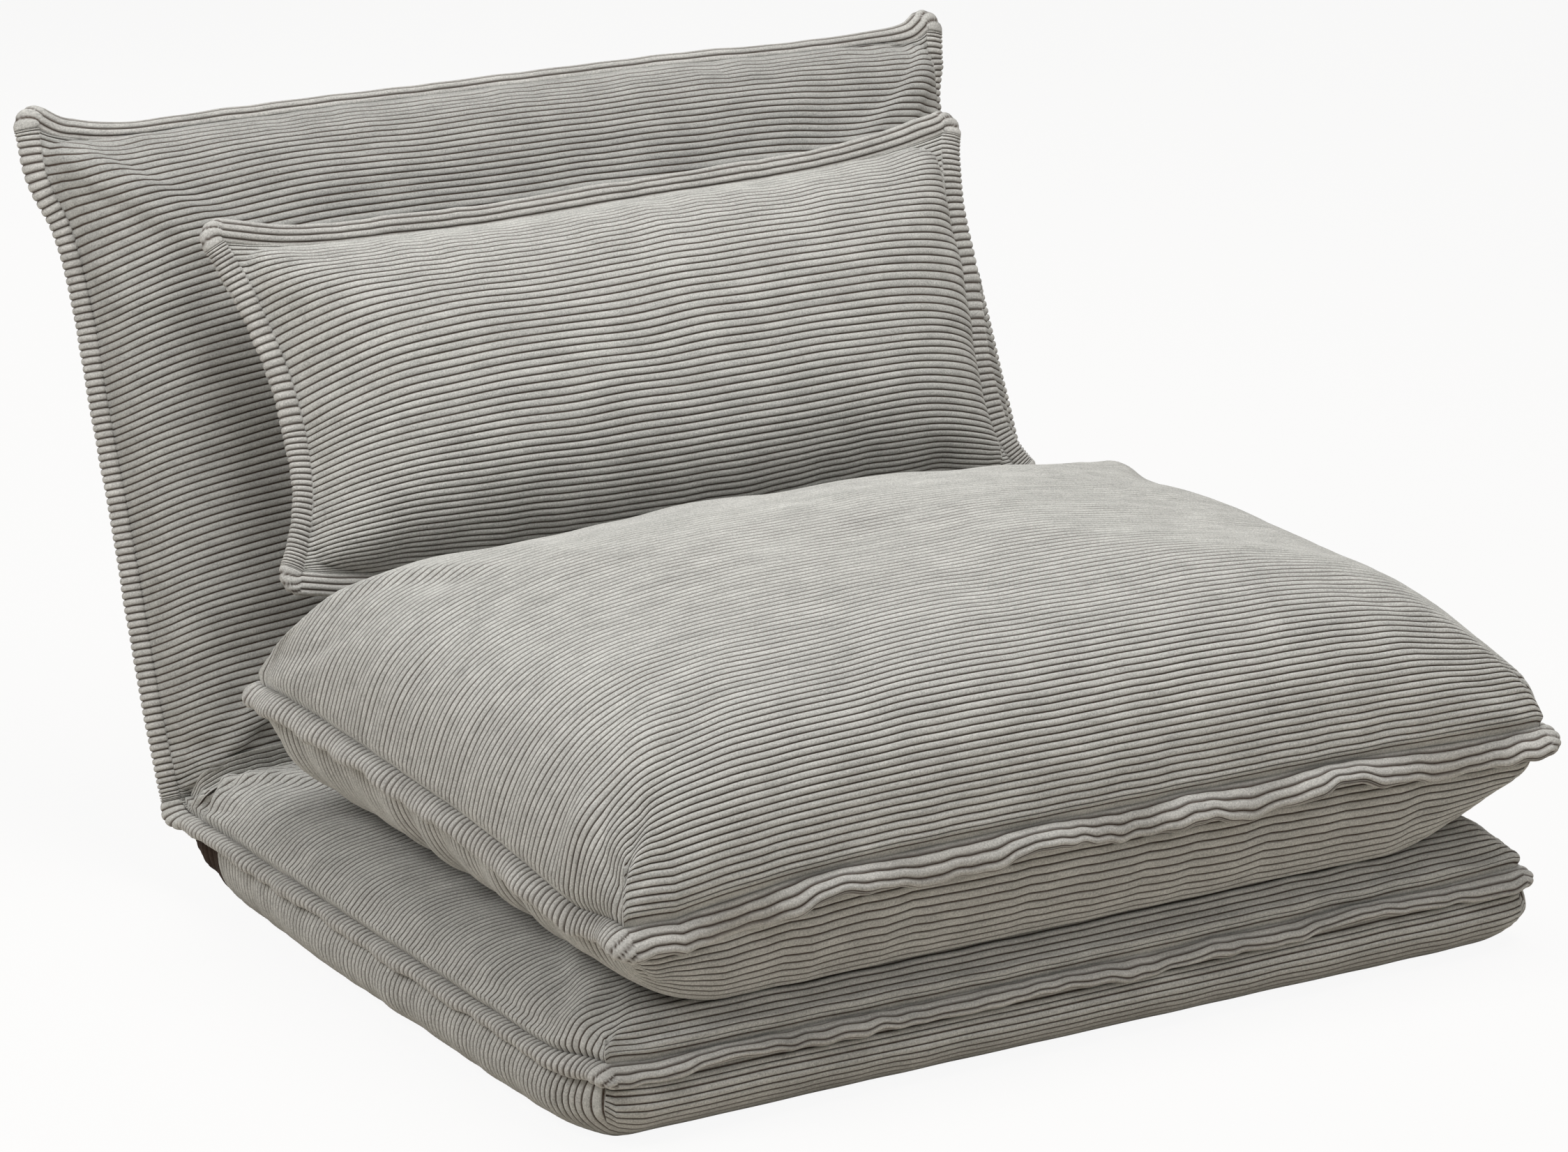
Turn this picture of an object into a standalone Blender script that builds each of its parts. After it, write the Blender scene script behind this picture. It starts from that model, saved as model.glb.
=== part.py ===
"""Chair bed: a floor lounger of three padded corduroy sections and a loose lumbar pillow.

The base lies on the floor. The back is joined to it by two ratchet hinges on steel tube frames
and leans back to lie flat. The seat lies on the base and turns forward to lengthen the bed.

X runs across the width, the front faces -Y and Z is up. The origin is the middle of the base's
floor face. Sizes are in metres and angles in degrees.
"""

import math

import bmesh
import bpy
from mathutils import Vector

# Base section
WIDTH = 0.960
BASE_DEPTH = 0.750
BASE_SEAM_HEIGHT = 0.065
BASE_TOP_RISE = 0.048
BASE_SIDE_ROUND = 0.060
BASE_FRONT_ROUND = 0.055
BASE_FOLD_ROUND = 0.090
BASE_EAR = 0.006

# Back section, measured up from the fold line
BACK_LENGTH = 0.618
BACK_RECLINE = 23.5
BACK_FRONT_SHOULDER = 0.046
BACK_FRONT_DOME = 0.022
BACK_REAR_SHOULDER = 0.046
BACK_REAR_DOME = 0.014
BACK_SIDE_ROUND = 0.085
BACK_TOP_ROUND = 0.090
BACK_EAR = 0.022

# Seat section
SEAT_WIDTH = 0.946
SEAT_DEPTH = 0.628
SEAT_OVERHANG = 0.021
SEAT_UNDERSIDE = 0.102
SEAT_TILT = 2.0
SEAT_SHOULDER = 0.098
SEAT_DOME = 0.056
SEAT_TOP_ROUND = 0.085
SEAT_REAR_ROUND = 0.055
SEAT_UNDER_SIDE_ROUND = 0.120
SEAT_UNDER_END_ROUND = 0.060
SEAT_EAR = 0.008
SEAT_TURN_CLEAR = 0.003

# Lumbar pillow
PILLOW_WIDTH = 0.740
PILLOW_HEIGHT = 0.298
PILLOW_FRONT_SHOULDER = 0.045
PILLOW_FRONT_DOME = 0.042
PILLOW_REAR_SHOULDER = 0.041
PILLOW_REAR_DOME = 0.029
PILLOW_ROUND = 0.110
PILLOW_EAR = 0.027
PILLOW_LEAN = 31.0
PILLOW_UP_BACK = 0.334

# Covers, welts and clearances
COVER = 0.002
LINING = 0.0015
WELT_WIDTH = 0.018
WELT_THICKNESS = 0.010
WELT_ROUND = 0.0035
FIT = 0.0003

# Steel frames and ratchet hinges
TUBE_RADIUS = 0.0095
FRAME_INSET = 0.032
FRAME_BEND = 0.070
ARM_THICKNESS = 0.004
ARM_HEIGHT = 0.010
ARM_LENGTH = 0.085
HINGE_RADIUS = 0.0145
RIVET_RADIUS = 0.004
RIVET_HEAD_RADIUS = 0.0075
RIVET_HEAD = 0.002
RUNNING_FIT = 0.0002
TUBE_END_GAP = 0.014

# Sewn strips at the two folds
GUSSET_RADIUS = 0.015
TAPE_WIDTH = 0.075
TAPE_THICKNESS = 0.0012
TAPE_INSET = 0.130

# Mesh densities
COLUMNS = 14
ROWS = 12
TUBE_SIDES_RESOLUTION = 2
ROUND_SEGMENTS = 24
PROFILE_STEPS = 80
EAR_SHARPNESS = 6
PILLOW_EAR_SHARPNESS = 3
DOME_FULLNESS = 3

# Places worked out from the sizes
SEAM_HALF = COVER + FIT
FOLD_Y = BASE_DEPTH / 2
FOLD_GAP = GUSSET_RADIUS + FIT
BODY_HALF_WIDTH = WIDTH / 2 - WELT_WIDTH
BASE_TOP = BASE_SEAM_HEIGHT + BASE_TOP_RISE
SEAT_BOTTOM = BASE_TOP + TAPE_THICKNESS + 2 * FIT
SEAT_SEAM_HEIGHT = SEAT_BOTTOM + SEAT_UNDERSIDE
SEAT_TOP = SEAT_SEAM_HEIGHT + SEAM_HALF + SEAT_SHOULDER + SEAT_DOME
SEAT_FRONT = -BASE_DEPTH / 2 - SEAT_OVERHANG
SEAT_MIDDLE = SEAT_FRONT + SEAT_DEPTH / 2
SEAT_HINGE_Y = SEAT_FRONT - SEAT_EAR - 2 * FIT
SEAT_HINGE_Z = SEAT_TOP / 2 + SEAT_TURN_CLEAR
FRAME_HALF_WIDTH = BODY_HALF_WIDTH - FRAME_INSET
BASE_ARM_X = FRAME_HALF_WIDTH - TUBE_RADIUS - FIT - ARM_THICKNESS / 2
BACK_ARM_X = BASE_ARM_X - ARM_THICKNESS - FIT
BACK_FRAME_HALF_WIDTH = FRAME_HALF_WIDTH - ARM_THICKNESS - FIT


class Cushion:
    """Plan of a section along its seam: a rectangle whose free corners reach out as ears."""

    def __init__(self, half_width, low, high, low_ear, high_ear, fold=None, sharpness=EAR_SHARPNESS):
        self.half_width = half_width
        self.low = low
        self.high = high
        self.low_ear = low_ear
        self.high_ear = high_ear
        self.fold = fold
        self.sharpness = sharpness

    def point(self, u, w, grow=0.0):
        """Plan position for u across and w along, each from -1 to 1, on a seam grown outward."""
        low = self.low - (0.0 if self.fold == "low" else grow)
        high = self.high + (0.0 if self.fold == "high" else grow)
        reach = self.low_ear * max(-w, 0.0) ** self.sharpness
        reach += self.high_ear * max(w, 0.0) ** self.sharpness
        ear = self.high_ear * max(w, 0.0) - self.low_ear * max(-w, 0.0)
        x = u * (self.half_width + grow + reach)
        y = (low + high) / 2 + w * (high - low) / 2 + ear * abs(u) ** self.sharpness
        return x, y


class Crown:
    """Section through one face of a cushion: shoulder, dome and the rounding at each seam."""

    def __init__(self, shoulder, dome, side_round, low_round, high_round, slope=0.0):
        self.shoulder = shoulder
        self.dome = dome
        self.side_round = side_round
        self.low_round = low_round
        self.high_round = high_round
        self.slope = slope

    def height(self, cushion, u, w):
        """Height over the seam: a quarter round at the nearest seam, boxed at the corners, and a dome."""
        half_depth = (cushion.high - cushion.low) / 2
        run = min(
            (1 - abs(u)) * cushion.half_width / self.side_round,
            (1 + w) * half_depth / self.low_round,
            (1 - w) * half_depth / self.high_round,
            1.0,
        )
        shoulder = self.shoulder + self.slope * w * half_depth
        rise = math.sqrt(1.0 - (1.0 - run) ** 2)
        dome = (1 - abs(u) ** DOME_FULLNESS) * (1 - abs(w) ** DOME_FULLNESS)
        return shoulder * rise + self.dome * dome


def eased(t):
    """Spread grid lines so that they crowd towards the seams."""
    return math.sin(t * math.pi / 2)


def make_collection(name):
    collection = bpy.data.collections.new(name)
    bpy.context.scene.collection.children.link(collection)
    return collection


def make_material(name, colour, roughness, metallic=0.0):
    material = bpy.data.materials.new(name)
    material.use_nodes = True
    shader = material.node_tree.nodes["Principled BSDF"]
    shader.inputs["Base Color"].default_value = (*colour, 1.0)
    shader.inputs["Roughness"].default_value = roughness
    shader.inputs["Metallic"].default_value = metallic
    return material


def add_object(name, data, material, collection, parent=None):
    obj = bpy.data.objects.new(name, data)
    collection.objects.link(obj)
    obj.parent = parent
    data.materials.append(material)
    return obj


def mesh_from(bm, name):
    mesh = bpy.data.meshes.new(name)
    bm.to_mesh(mesh)
    bm.free()
    mesh.shade_smooth()
    mesh.set_sharp_from_angle(angle=math.radians(50))
    return mesh


def add_empty(name, collection, location, rotation_x=0.0, parent=None):
    empty = bpy.data.objects.new(name, None)
    collection.objects.link(empty)
    empty.location = location
    empty.rotation_euler.x = math.radians(rotation_x)
    empty.parent = parent
    return empty


def panel(cushion, crown, side):
    """Open crowned surface of one face; side is 1 for the upper or front face and -1 for the other."""
    bm = bmesh.new()
    bmesh.ops.create_grid(bm, x_segments=COLUMNS, y_segments=ROWS, size=1.0)
    for vert in bm.verts:
        u = eased(vert.co.x)
        w = eased(vert.co.y)
        x, y = cushion.point(u, w)
        vert.co = (x, y, side * (SEAM_HALF + crown.height(cushion, u, w)))
    if side < 0:
        bmesh.ops.reverse_faces(bm, faces=bm.faces[:])
    for corner in [vert for vert in bm.verts if len(vert.link_edges) == 2]:
        face = corner.link_faces[0]
        neighbours = [edge.other_vert(corner) for edge in corner.link_edges]
        opposite = [vert for vert in face.verts if vert != corner and vert not in neighbours]
        bmesh.ops.connect_verts(bm, verts=[corner, *opposite])
    bmesh.ops.triangulate(bm, faces=bm.faces[:])
    bm.normal_update()
    return bm


def shrink(bm, rim_height):
    """Draw a face in by the cover and its clearance, a little more at the rim, set to its own height."""
    inset = COVER + FIT
    moves = []
    for vert in bm.verts:
        extra = COVER / 2 if vert.is_boundary else 0.0
        moves.append((vert, vert.normal * (inset + extra)))
    for vert, move in moves:
        vert.co -= move
        if vert.is_boundary:
            vert.co.z = rim_height


def solidify(obj, thickness):
    modifier = obj.modifiers.new("Thickness", "SOLIDIFY")
    modifier.thickness = thickness
    modifier.offset = -1.0
    return obj


def cover(name, cushion, crown, side, material, collection, parent=None):
    mesh = mesh_from(panel(cushion, crown, side), name)
    return solidify(add_object(name, mesh, material, collection, parent), COVER)


def foam(name, cushion, crown, side, cut, material, collection, parent=None):
    """Foam block under one cover, cut flat at the given distance from the seam plane."""
    bm = panel(cushion, crown, side)
    shrink(bm, 0.0)
    geometry = bm.verts[:] + bm.edges[:] + bm.faces[:]
    bmesh.ops.bisect_plane(
        bm, geom=geometry, plane_co=(0, 0, side * cut), plane_no=(0, 0, side), clear_inner=True
    )
    rim = [edge for edge in bm.edges if edge.is_boundary]
    bmesh.ops.holes_fill(bm, edges=rim, sides=0)
    bmesh.ops.recalc_face_normals(bm, faces=bm.faces[:])
    return add_object(name, mesh_from(bm, name), material, collection, parent)


def insert(name, cushion, front, rear, material, collection, parent):
    """Filled inner pillow: both faces shrunk to fit the cover and joined round the seam."""
    bm = panel(cushion, front, 1)
    shrink(bm, FIT / 2)
    other = panel(cushion, rear, -1)
    shrink(other, -FIT / 2)
    mesh = bpy.data.meshes.new(name)
    other.to_mesh(mesh)
    other.free()
    bm.from_mesh(mesh)
    bpy.data.meshes.remove(mesh)
    rims = [edge for edge in bm.edges if edge.is_boundary]
    bmesh.ops.bridge_loops(bm, edges=rims)
    bmesh.ops.recalc_face_normals(bm, faces=bm.faces[:])
    return add_object(name, mesh_from(bm, name), material, collection, parent)


def flat_curve(name, outlines, thickness, rounding, material, collection, parent=None):
    """Plate with one or more outlines, the later ones being holes."""
    curve = bpy.data.curves.new(name, "CURVE")
    curve.dimensions = "2D"
    curve.fill_mode = "BOTH"
    curve.extrude = thickness / 2 - rounding
    curve.bevel_depth = rounding
    curve.bevel_resolution = 1
    for outline in outlines:
        spline = curve.splines.new("POLY")
        spline.points.add(len(outline) - 1)
        spline.use_cyclic_u = True
        for point, (x, y) in zip(spline.points, outline):
            point.co = (x, y, 0.0, 1.0)
    return add_object(name, curve, material, collection, parent)


def seam_walk(cushion, grow, whole):
    """Points along the grown seam, counter-clockwise, from the fold round the free end and back."""
    start = 1 if cushion.fold != "low" else -1
    along = [eased(2 * i / ROWS - 1) for i in range(ROWS + 1)]
    across = [eased(2 * i / COLUMNS - 1) for i in range(COLUMNS + 1)]
    walk = [(-start, -start * s) for s in along]
    walk += [(start * s, -start) for s in across[1:]]
    walk += [(start, start * s) for s in along[1:]]
    if whole:
        walk += [(-start * s, start) for s in across[1:-1]]
    return [cushion.point(u, w, grow) for u, w in walk]


def offset_walk(points, distance, is_open):
    """Points moved outward by a distance square to the walk, mitred where it turns."""
    moved = []
    last = len(points) - 1
    for i, here in enumerate(points):
        before = points[max(i - 1, 0) if is_open else i - 1]
        after = points[min(i + 1, last) if is_open else (i + 1) % (last + 1)]
        normals = []
        for start, end in ((before, here), (here, after)):
            run = Vector(end) - Vector(start)
            if run.length > 0.0:
                normals.append(Vector((run.y, -run.x)).normalized())
        middle = sum(normals, Vector((0.0, 0.0))).normalized()
        moved.append(Vector(here) + middle * distance / middle.dot(normals[0]))
    return [tuple(point) for point in moved]


def welt(name, cushion, material, collection, parent=None):
    """Padded flange sewn round the seam; a section with a fold has none along the fold."""
    outer = seam_walk(cushion, WELT_WIDTH - WELT_ROUND, cushion.fold is None)
    inner = offset_walk(seam_walk(cushion, 0.0, cushion.fold is None), FIT + WELT_ROUND, cushion.fold)
    outlines = [outer + inner[::-1]] if cushion.fold else [outer, inner[::-1]]
    return flat_curve(name, outlines, WELT_THICKNESS, WELT_ROUND, material, collection, parent)


def u_tube(name, half_width, closed_y, open_y, material, collection, parent=None):
    """Steel tube bent to a U in the seam plane, with its open ends at the fold."""
    way = 1.0 if open_y > closed_y else -1.0
    points = [(-half_width, open_y)]
    for sign in (-1.0, 1.0):
        centre = (sign * (half_width - FRAME_BEND), closed_y + way * FRAME_BEND)
        for i in range(ROUND_SEGMENTS // 4 + 1):
            turn = math.pi / 2 * i / (ROUND_SEGMENTS // 4)
            angle = turn if sign < 0 else math.pi / 2 - turn
            x = centre[0] + sign * FRAME_BEND * math.cos(angle)
            points.append((x, centre[1] - way * FRAME_BEND * math.sin(angle)))
    points.append((half_width, open_y))
    curve = bpy.data.curves.new(name, "CURVE")
    curve.dimensions = "3D"
    curve.bevel_depth = TUBE_RADIUS
    curve.bevel_resolution = TUBE_SIDES_RESOLUTION
    curve.use_fill_caps = True
    spline = curve.splines.new("POLY")
    spline.points.add(len(points) - 1)
    for point, (x, y) in zip(spline.points, points):
        point.co = (x, y, 0.0, 1.0)
    return add_object(name, curve, material, collection, parent)


def crossbar(name, half_width, y, material, collection, parent=None):
    bm = bmesh.new()
    bmesh.ops.create_cone(
        bm,
        cap_ends=True,
        segments=ROUND_SEGMENTS // 2,
        radius1=TUBE_RADIUS,
        radius2=TUBE_RADIUS,
        depth=2 * (half_width - TUBE_RADIUS - FIT),
    )
    obj = add_object(name, mesh_from(bm, name), material, collection, parent)
    obj.location = (0.0, y, 0.0)
    obj.rotation_euler = (0.0, math.pi / 2, 0.0)
    return obj


def hinge_arm(name, x, way, material, collection, parent=None):
    """Stamped hinge arm: a round eye on the fold line with a flat bar towards the frame tube."""
    half_bar = ARM_HEIGHT / 2
    start = math.asin(half_bar / HINGE_RADIUS)
    outline = [(ARM_LENGTH, half_bar)]
    for i in range(ROUND_SEGMENTS + 1):
        angle = start + (2 * math.pi - 2 * start) * i / ROUND_SEGMENTS
        outline.append((HINGE_RADIUS * math.cos(angle), HINGE_RADIUS * math.sin(angle)))
    outline.append((ARM_LENGTH, -half_bar))
    eye = []
    for i in range(ROUND_SEGMENTS):
        angle = 2 * math.pi * i / ROUND_SEGMENTS
        radius = RIVET_RADIUS + RUNNING_FIT
        eye.append((radius * math.cos(angle), radius * math.sin(angle)))
    arm = flat_curve(name, [outline, eye], ARM_THICKNESS, 0.0, material, collection, parent)
    arm.location = (x, 0.0, 0.0)
    turn = math.pi / 2 if way > 0 else -math.pi / 2
    arm.rotation_euler = (math.pi / 2, 0.0, turn)
    return arm


def rivet(name, x, span, material, collection, parent):
    """Headed rivet along X, turned from its profile."""
    half = span / 2 + FIT
    profile = [
        (0.0, half + RIVET_HEAD),
        (RIVET_HEAD_RADIUS, half + RIVET_HEAD),
        (RIVET_HEAD_RADIUS, half),
        (RIVET_RADIUS, half),
        (RIVET_RADIUS, -half),
        (RIVET_HEAD_RADIUS, -half),
        (RIVET_HEAD_RADIUS, -half - RIVET_HEAD),
        (0.0, -half - RIVET_HEAD),
    ]
    mesh = bpy.data.meshes.new(name)
    edges = [(i, i + 1) for i in range(len(profile) - 1)]
    mesh.from_pydata([(r, 0.0, z) for r, z in profile], edges, [])
    obj = add_object(name, mesh, material, collection, parent)
    screw = obj.modifiers.new("Turn", "SCREW")
    screw.steps = ROUND_SEGMENTS
    screw.render_steps = ROUND_SEGMENTS
    screw.use_merge_vertices = True
    screw.merge_threshold = 0.00001
    obj.location = (x, 0.0, 0.0)
    obj.rotation_euler = (0.0, math.pi / 2, 0.0)
    return obj


def box(name, low, high, material, collection, parent=None):
    bm = bmesh.new()
    bmesh.ops.create_cube(bm, size=1.0)
    middle = (Vector(low) + Vector(high)) / 2
    size = Vector(high) - Vector(low)
    for vert in bm.verts:
        vert.co = Vector(a * b for a, b in zip(vert.co, size)) + middle
    return add_object(name, mesh_from(bm, name), material, collection, parent)


def slot_cutter(name, x, way, material, collection, parent=None):
    """Pair of boxes that let the hinge arms through the end of a cover."""
    half_x = ARM_THICKNESS / 2 + FIT
    half_z = ARM_HEIGHT / 2 + FIT
    reach = sorted((0.0, way * ARM_LENGTH))
    left = box(name, (-x - half_x, reach[0], -half_z), (-x + half_x, reach[1], half_z), material, collection)
    left.parent = parent
    mirror = left.modifiers.new("Right side", "MIRROR")
    mirror.merge_threshold = 0.00001
    left.hide_render = True
    left.display_type = "WIRE"
    return left


def cut(obj, cutter):
    modifier = obj.modifiers.new("Arm slots", "BOOLEAN")
    modifier.operation = "DIFFERENCE"
    modifier.object = cutter
    return obj


def floor_panels(cushion, crown, corduroy, lining, collection, parent):
    """Lower face of the base: a corduroy band at sides and front, a lining on the floor and fold."""
    half_depth = (cushion.high - cushion.low) / 2
    columns = []
    for column in range(COLUMNS + 1):
        u = eased(2 * column / COLUMNS - 1)
        if (1 - abs(u)) * cushion.half_width >= crown.side_round:
            columns.append(column)
    rows = []
    for row in range(ROWS + 1):
        w = eased(2 * row / ROWS - 1)
        if (1 + w) * half_depth >= crown.low_round:
            rows.append(row)
    pieces = []
    for name, is_lining, thickness, material in (
        ("base_side_band", False, COVER, corduroy),
        ("base_floor_lining", True, LINING, lining),
    ):
        bm = panel(cushion, crown, -1)
        unwanted = []
        for face in bm.faces:
            inside = all(
                vert.index % (COLUMNS + 1) in columns and vert.index // (COLUMNS + 1) in rows
                for vert in face.verts
            )
            if inside != is_lining:
                unwanted.append(face)
        if is_lining:
            for vert in bm.verts:
                column = vert.index % (COLUMNS + 1)
                vert.co.x += COVER * ((column == columns[0]) - (column == columns[-1]))
                vert.co.y += COVER * (vert.index // (COLUMNS + 1) == rows[0])
        bmesh.ops.delete(bm, geom=unwanted, context="FACES")
        obj = add_object(name, mesh_from(bm, name), material, collection, parent)
        pieces.append(solidify(obj, thickness))
    return pieces


def add_section_frame(prefix, half_width, closed_y, open_y, arm_x, way, steel, collection, parent):
    """Tube frame of a section with its crossbar and the pair of hinge arms beside its open ends."""
    u_tube(prefix + "_frame", half_width, closed_y, open_y, steel, collection, parent)
    crossbar(prefix + "_crossbar", half_width, (closed_y + open_y) / 2, steel, collection, parent)
    for side, sign in (("left", -1.0), ("right", 1.0)):
        hinge_arm(f"{prefix}_hinge_arm_{side}", sign * arm_x, way, steel, collection, parent)


def build_base(parts, cutters, fabrics, fold):
    """Base on the floor; its pieces hang from the fold's empty, at seam height."""
    shape = Cushion(
        BODY_HALF_WIDTH, -BASE_DEPTH + WELT_WIDTH, -FOLD_GAP, BASE_EAR, 0.0, fold="high"
    )
    top = Crown(
        BASE_TOP_RISE - SEAM_HALF, 0.0, BASE_SIDE_ROUND, BASE_FRONT_ROUND, BASE_FOLD_ROUND
    )
    floor = Crown(
        BASE_SEAM_HEIGHT - SEAM_HALF, 0.0, BASE_SIDE_ROUND, BASE_FRONT_ROUND, BASE_FOLD_ROUND
    )
    slots = slot_cutter("base_arm_slots", BASE_ARM_X, -1, fabrics["steel"], cutters, fold)
    cut(cover("base_top_cover", shape, top, 1, fabrics["corduroy"], parts, fold), slots)
    for piece in floor_panels(shape, floor, fabrics["corduroy"], fabrics["lining"], parts, fold):
        cut(piece, slots)
    layer = TUBE_RADIUS + FIT
    foam("base_upper_foam", shape, top, 1, layer, fabrics["foam"], parts, fold)
    foam("base_lower_foam", shape, floor, -1, layer, fabrics["foam"], parts, fold)
    welt("base_welt", shape, fabrics["welt"], parts, fold)
    add_section_frame(
        "base",
        FRAME_HALF_WIDTH,
        shape.low + FRAME_INSET,
        shape.high - TUBE_END_GAP,
        BASE_ARM_X,
        -1,
        fabrics["steel"],
        parts,
        fold,
    )
    for side, sign in (("left", -1.0), ("right", 1.0)):
        span = 2 * ARM_THICKNESS + FIT
        middle = sign * (BASE_ARM_X + BACK_ARM_X) / 2
        rivet(f"hinge_rivet_{side}", middle, span, fabrics["steel"], parts, fold)
    fold_gusset(fabrics["corduroy"], parts, fold)
    seat_tape(fabrics["tape"], parts, fold)


def fold_gusset(material, collection, parent):
    """Gathered strip of cover that wraps the fold line between the two hinges."""
    clear = BACK_ARM_X - ARM_THICKNESS / 2 - RIVET_HEAD - 2 * FIT
    bm = bmesh.new()
    bmesh.ops.create_cone(
        bm,
        cap_ends=False,
        segments=ROUND_SEGMENTS,
        radius1=GUSSET_RADIUS,
        radius2=GUSSET_RADIUS,
        depth=2 * clear,
    )
    obj = add_object("fold_gusset", mesh_from(bm, "fold_gusset"), material, collection, parent)
    obj.rotation_euler = (0.0, math.pi / 2, 0.0)
    return solidify(obj, COVER)


def seat_tape(material, collection, parent):
    """Hinge tape between base and seat, sewn on the base's top near the front."""
    half = SEAT_WIDTH / 2 - TAPE_INSET
    front = -BASE_DEPTH + WELT_WIDTH + BASE_FRONT_ROUND
    low = (-half, front, BASE_TOP_RISE + FIT)
    high = (half, front + TAPE_WIDTH, BASE_TOP_RISE + FIT + TAPE_THICKNESS)
    return box("seat_hinge_tape", low, high, material, collection, parent)


def back_form():
    shape = Cushion(
        BODY_HALF_WIDTH, FOLD_GAP, BACK_LENGTH - WELT_WIDTH, 0.0, BACK_EAR, fold="low"
    )
    rounds = (BACK_SIDE_ROUND, BASE_FOLD_ROUND, BACK_TOP_ROUND)
    front = Crown(BACK_FRONT_SHOULDER, BACK_FRONT_DOME, *rounds)
    rear = Crown(BACK_REAR_SHOULDER, BACK_REAR_DOME, *rounds)
    return shape, front, rear


def build_back(parts, cutters, fabrics, fold):
    """Back, modelled lying flat behind the fold and raised by its empty."""
    shape, front, rear = back_form()
    slots = slot_cutter("back_arm_slots", BACK_ARM_X, 1, fabrics["steel"], cutters, fold)
    cut(cover("back_front_cover", shape, front, 1, fabrics["corduroy"], parts, fold), slots)
    cut(cover("back_rear_cover", shape, rear, -1, fabrics["corduroy"], parts, fold), slots)
    layer = TUBE_RADIUS + FIT
    foam("back_front_foam", shape, front, 1, layer, fabrics["foam"], parts, fold)
    foam("back_rear_foam", shape, rear, -1, layer, fabrics["foam"], parts, fold)
    welt("back_welt", shape, fabrics["welt"], parts, fold)
    add_section_frame(
        "back",
        BACK_FRAME_HALF_WIDTH,
        shape.high - FRAME_INSET,
        shape.low + TUBE_END_GAP,
        BACK_ARM_X,
        1,
        fabrics["steel"],
        parts,
        fold,
    )


def seat_form():
    half_depth = SEAT_DEPTH / 2 - WELT_WIDTH
    shape = Cushion(SEAT_WIDTH / 2 - WELT_WIDTH, -half_depth, half_depth, SEAT_EAR, SEAT_EAR)
    top = Crown(SEAT_SHOULDER, SEAT_DOME, SEAT_TOP_ROUND, SEAT_TOP_ROUND, SEAT_REAR_ROUND)
    under = Crown(
        SEAT_UNDERSIDE - SEAM_HALF,
        0.0,
        SEAT_UNDER_SIDE_ROUND,
        SEAT_UNDER_END_ROUND,
        SEAT_UNDER_END_ROUND,
        slope=math.tan(math.radians(SEAT_TILT)),
    )
    return shape, top, under


def build_seat(parts, fabrics, hinge):
    """Seat section, placed from its turning line at the front."""
    shape, top, under = seat_form()
    place = (0.0, SEAT_MIDDLE - SEAT_HINGE_Y, SEAT_SEAM_HEIGHT - SEAT_HINGE_Z)
    seam = add_empty("seat_seam", parts, place, rotation_x=SEAT_TILT, parent=hinge)
    cover("seat_top_cover", shape, top, 1, fabrics["corduroy"], parts, seam)
    cover("seat_under_cover", shape, under, -1, fabrics["corduroy"], parts, seam)
    foam("seat_topper", shape, top, 1, FIT / 2, fabrics["wadding"], parts, seam)
    foam("seat_foam", shape, under, -1, FIT / 2, fabrics["foam"], parts, seam)
    welt("seat_welt", shape, fabrics["welt"], parts, seam)


def pillow_form():
    half_height = PILLOW_HEIGHT / 2 - WELT_WIDTH
    shape = Cushion(
        PILLOW_WIDTH / 2 - WELT_WIDTH,
        -half_height,
        half_height,
        PILLOW_EAR,
        PILLOW_EAR,
        sharpness=PILLOW_EAR_SHARPNESS,
    )
    rounds = (PILLOW_ROUND, PILLOW_ROUND, PILLOW_ROUND)
    front = Crown(PILLOW_FRONT_SHOULDER, PILLOW_FRONT_DOME, *rounds)
    rear = Crown(PILLOW_REAR_SHOULDER, PILLOW_REAR_DOME, *rounds)
    return shape, front, rear


def turned(point, angle):
    y, z = point
    return y * math.cos(angle) - z * math.sin(angle), y * math.sin(angle) + z * math.cos(angle)


def pillow_off_back():
    """Distance of the pillow's seam from the back's, with their crowns just clear on the middle line."""
    back_shape, back_front, _ = back_form()
    shape, _, rear = pillow_form()
    furthest = 0.0
    for i in range(PROFILE_STEPS + 1):
        w = 2 * i / PROFILE_STEPS - 1
        behind = SEAM_HALF + rear.height(shape, 0.0, w)
        along, out = turned((w * shape.high, -behind), math.radians(BACK_RECLINE - PILLOW_LEAN))
        middle = (back_shape.high + back_shape.low) / 2
        station = 2 * (PILLOW_UP_BACK + along - middle) / (back_shape.high - back_shape.low)
        if abs(station) < 1.0:
            ahead = SEAM_HALF + back_front.height(back_shape, 0.0, station)
            furthest = max(furthest, ahead - out)
    return furthest + FIT


def build_pillow(parts, fabrics, seam):
    """Loose lumbar pillow in its own seam plane, with its front face along +Z."""
    shape, front, rear = pillow_form()
    cover("pillow_front_cover", shape, front, 1, fabrics["corduroy"], parts, seam)
    cover("pillow_rear_cover", shape, rear, -1, fabrics["corduroy"], parts, seam)
    insert("pillow_insert", shape, front, rear, fabrics["wadding"], parts, seam)
    welt("pillow_welt", shape, fabrics["welt"], parts, seam)


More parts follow.
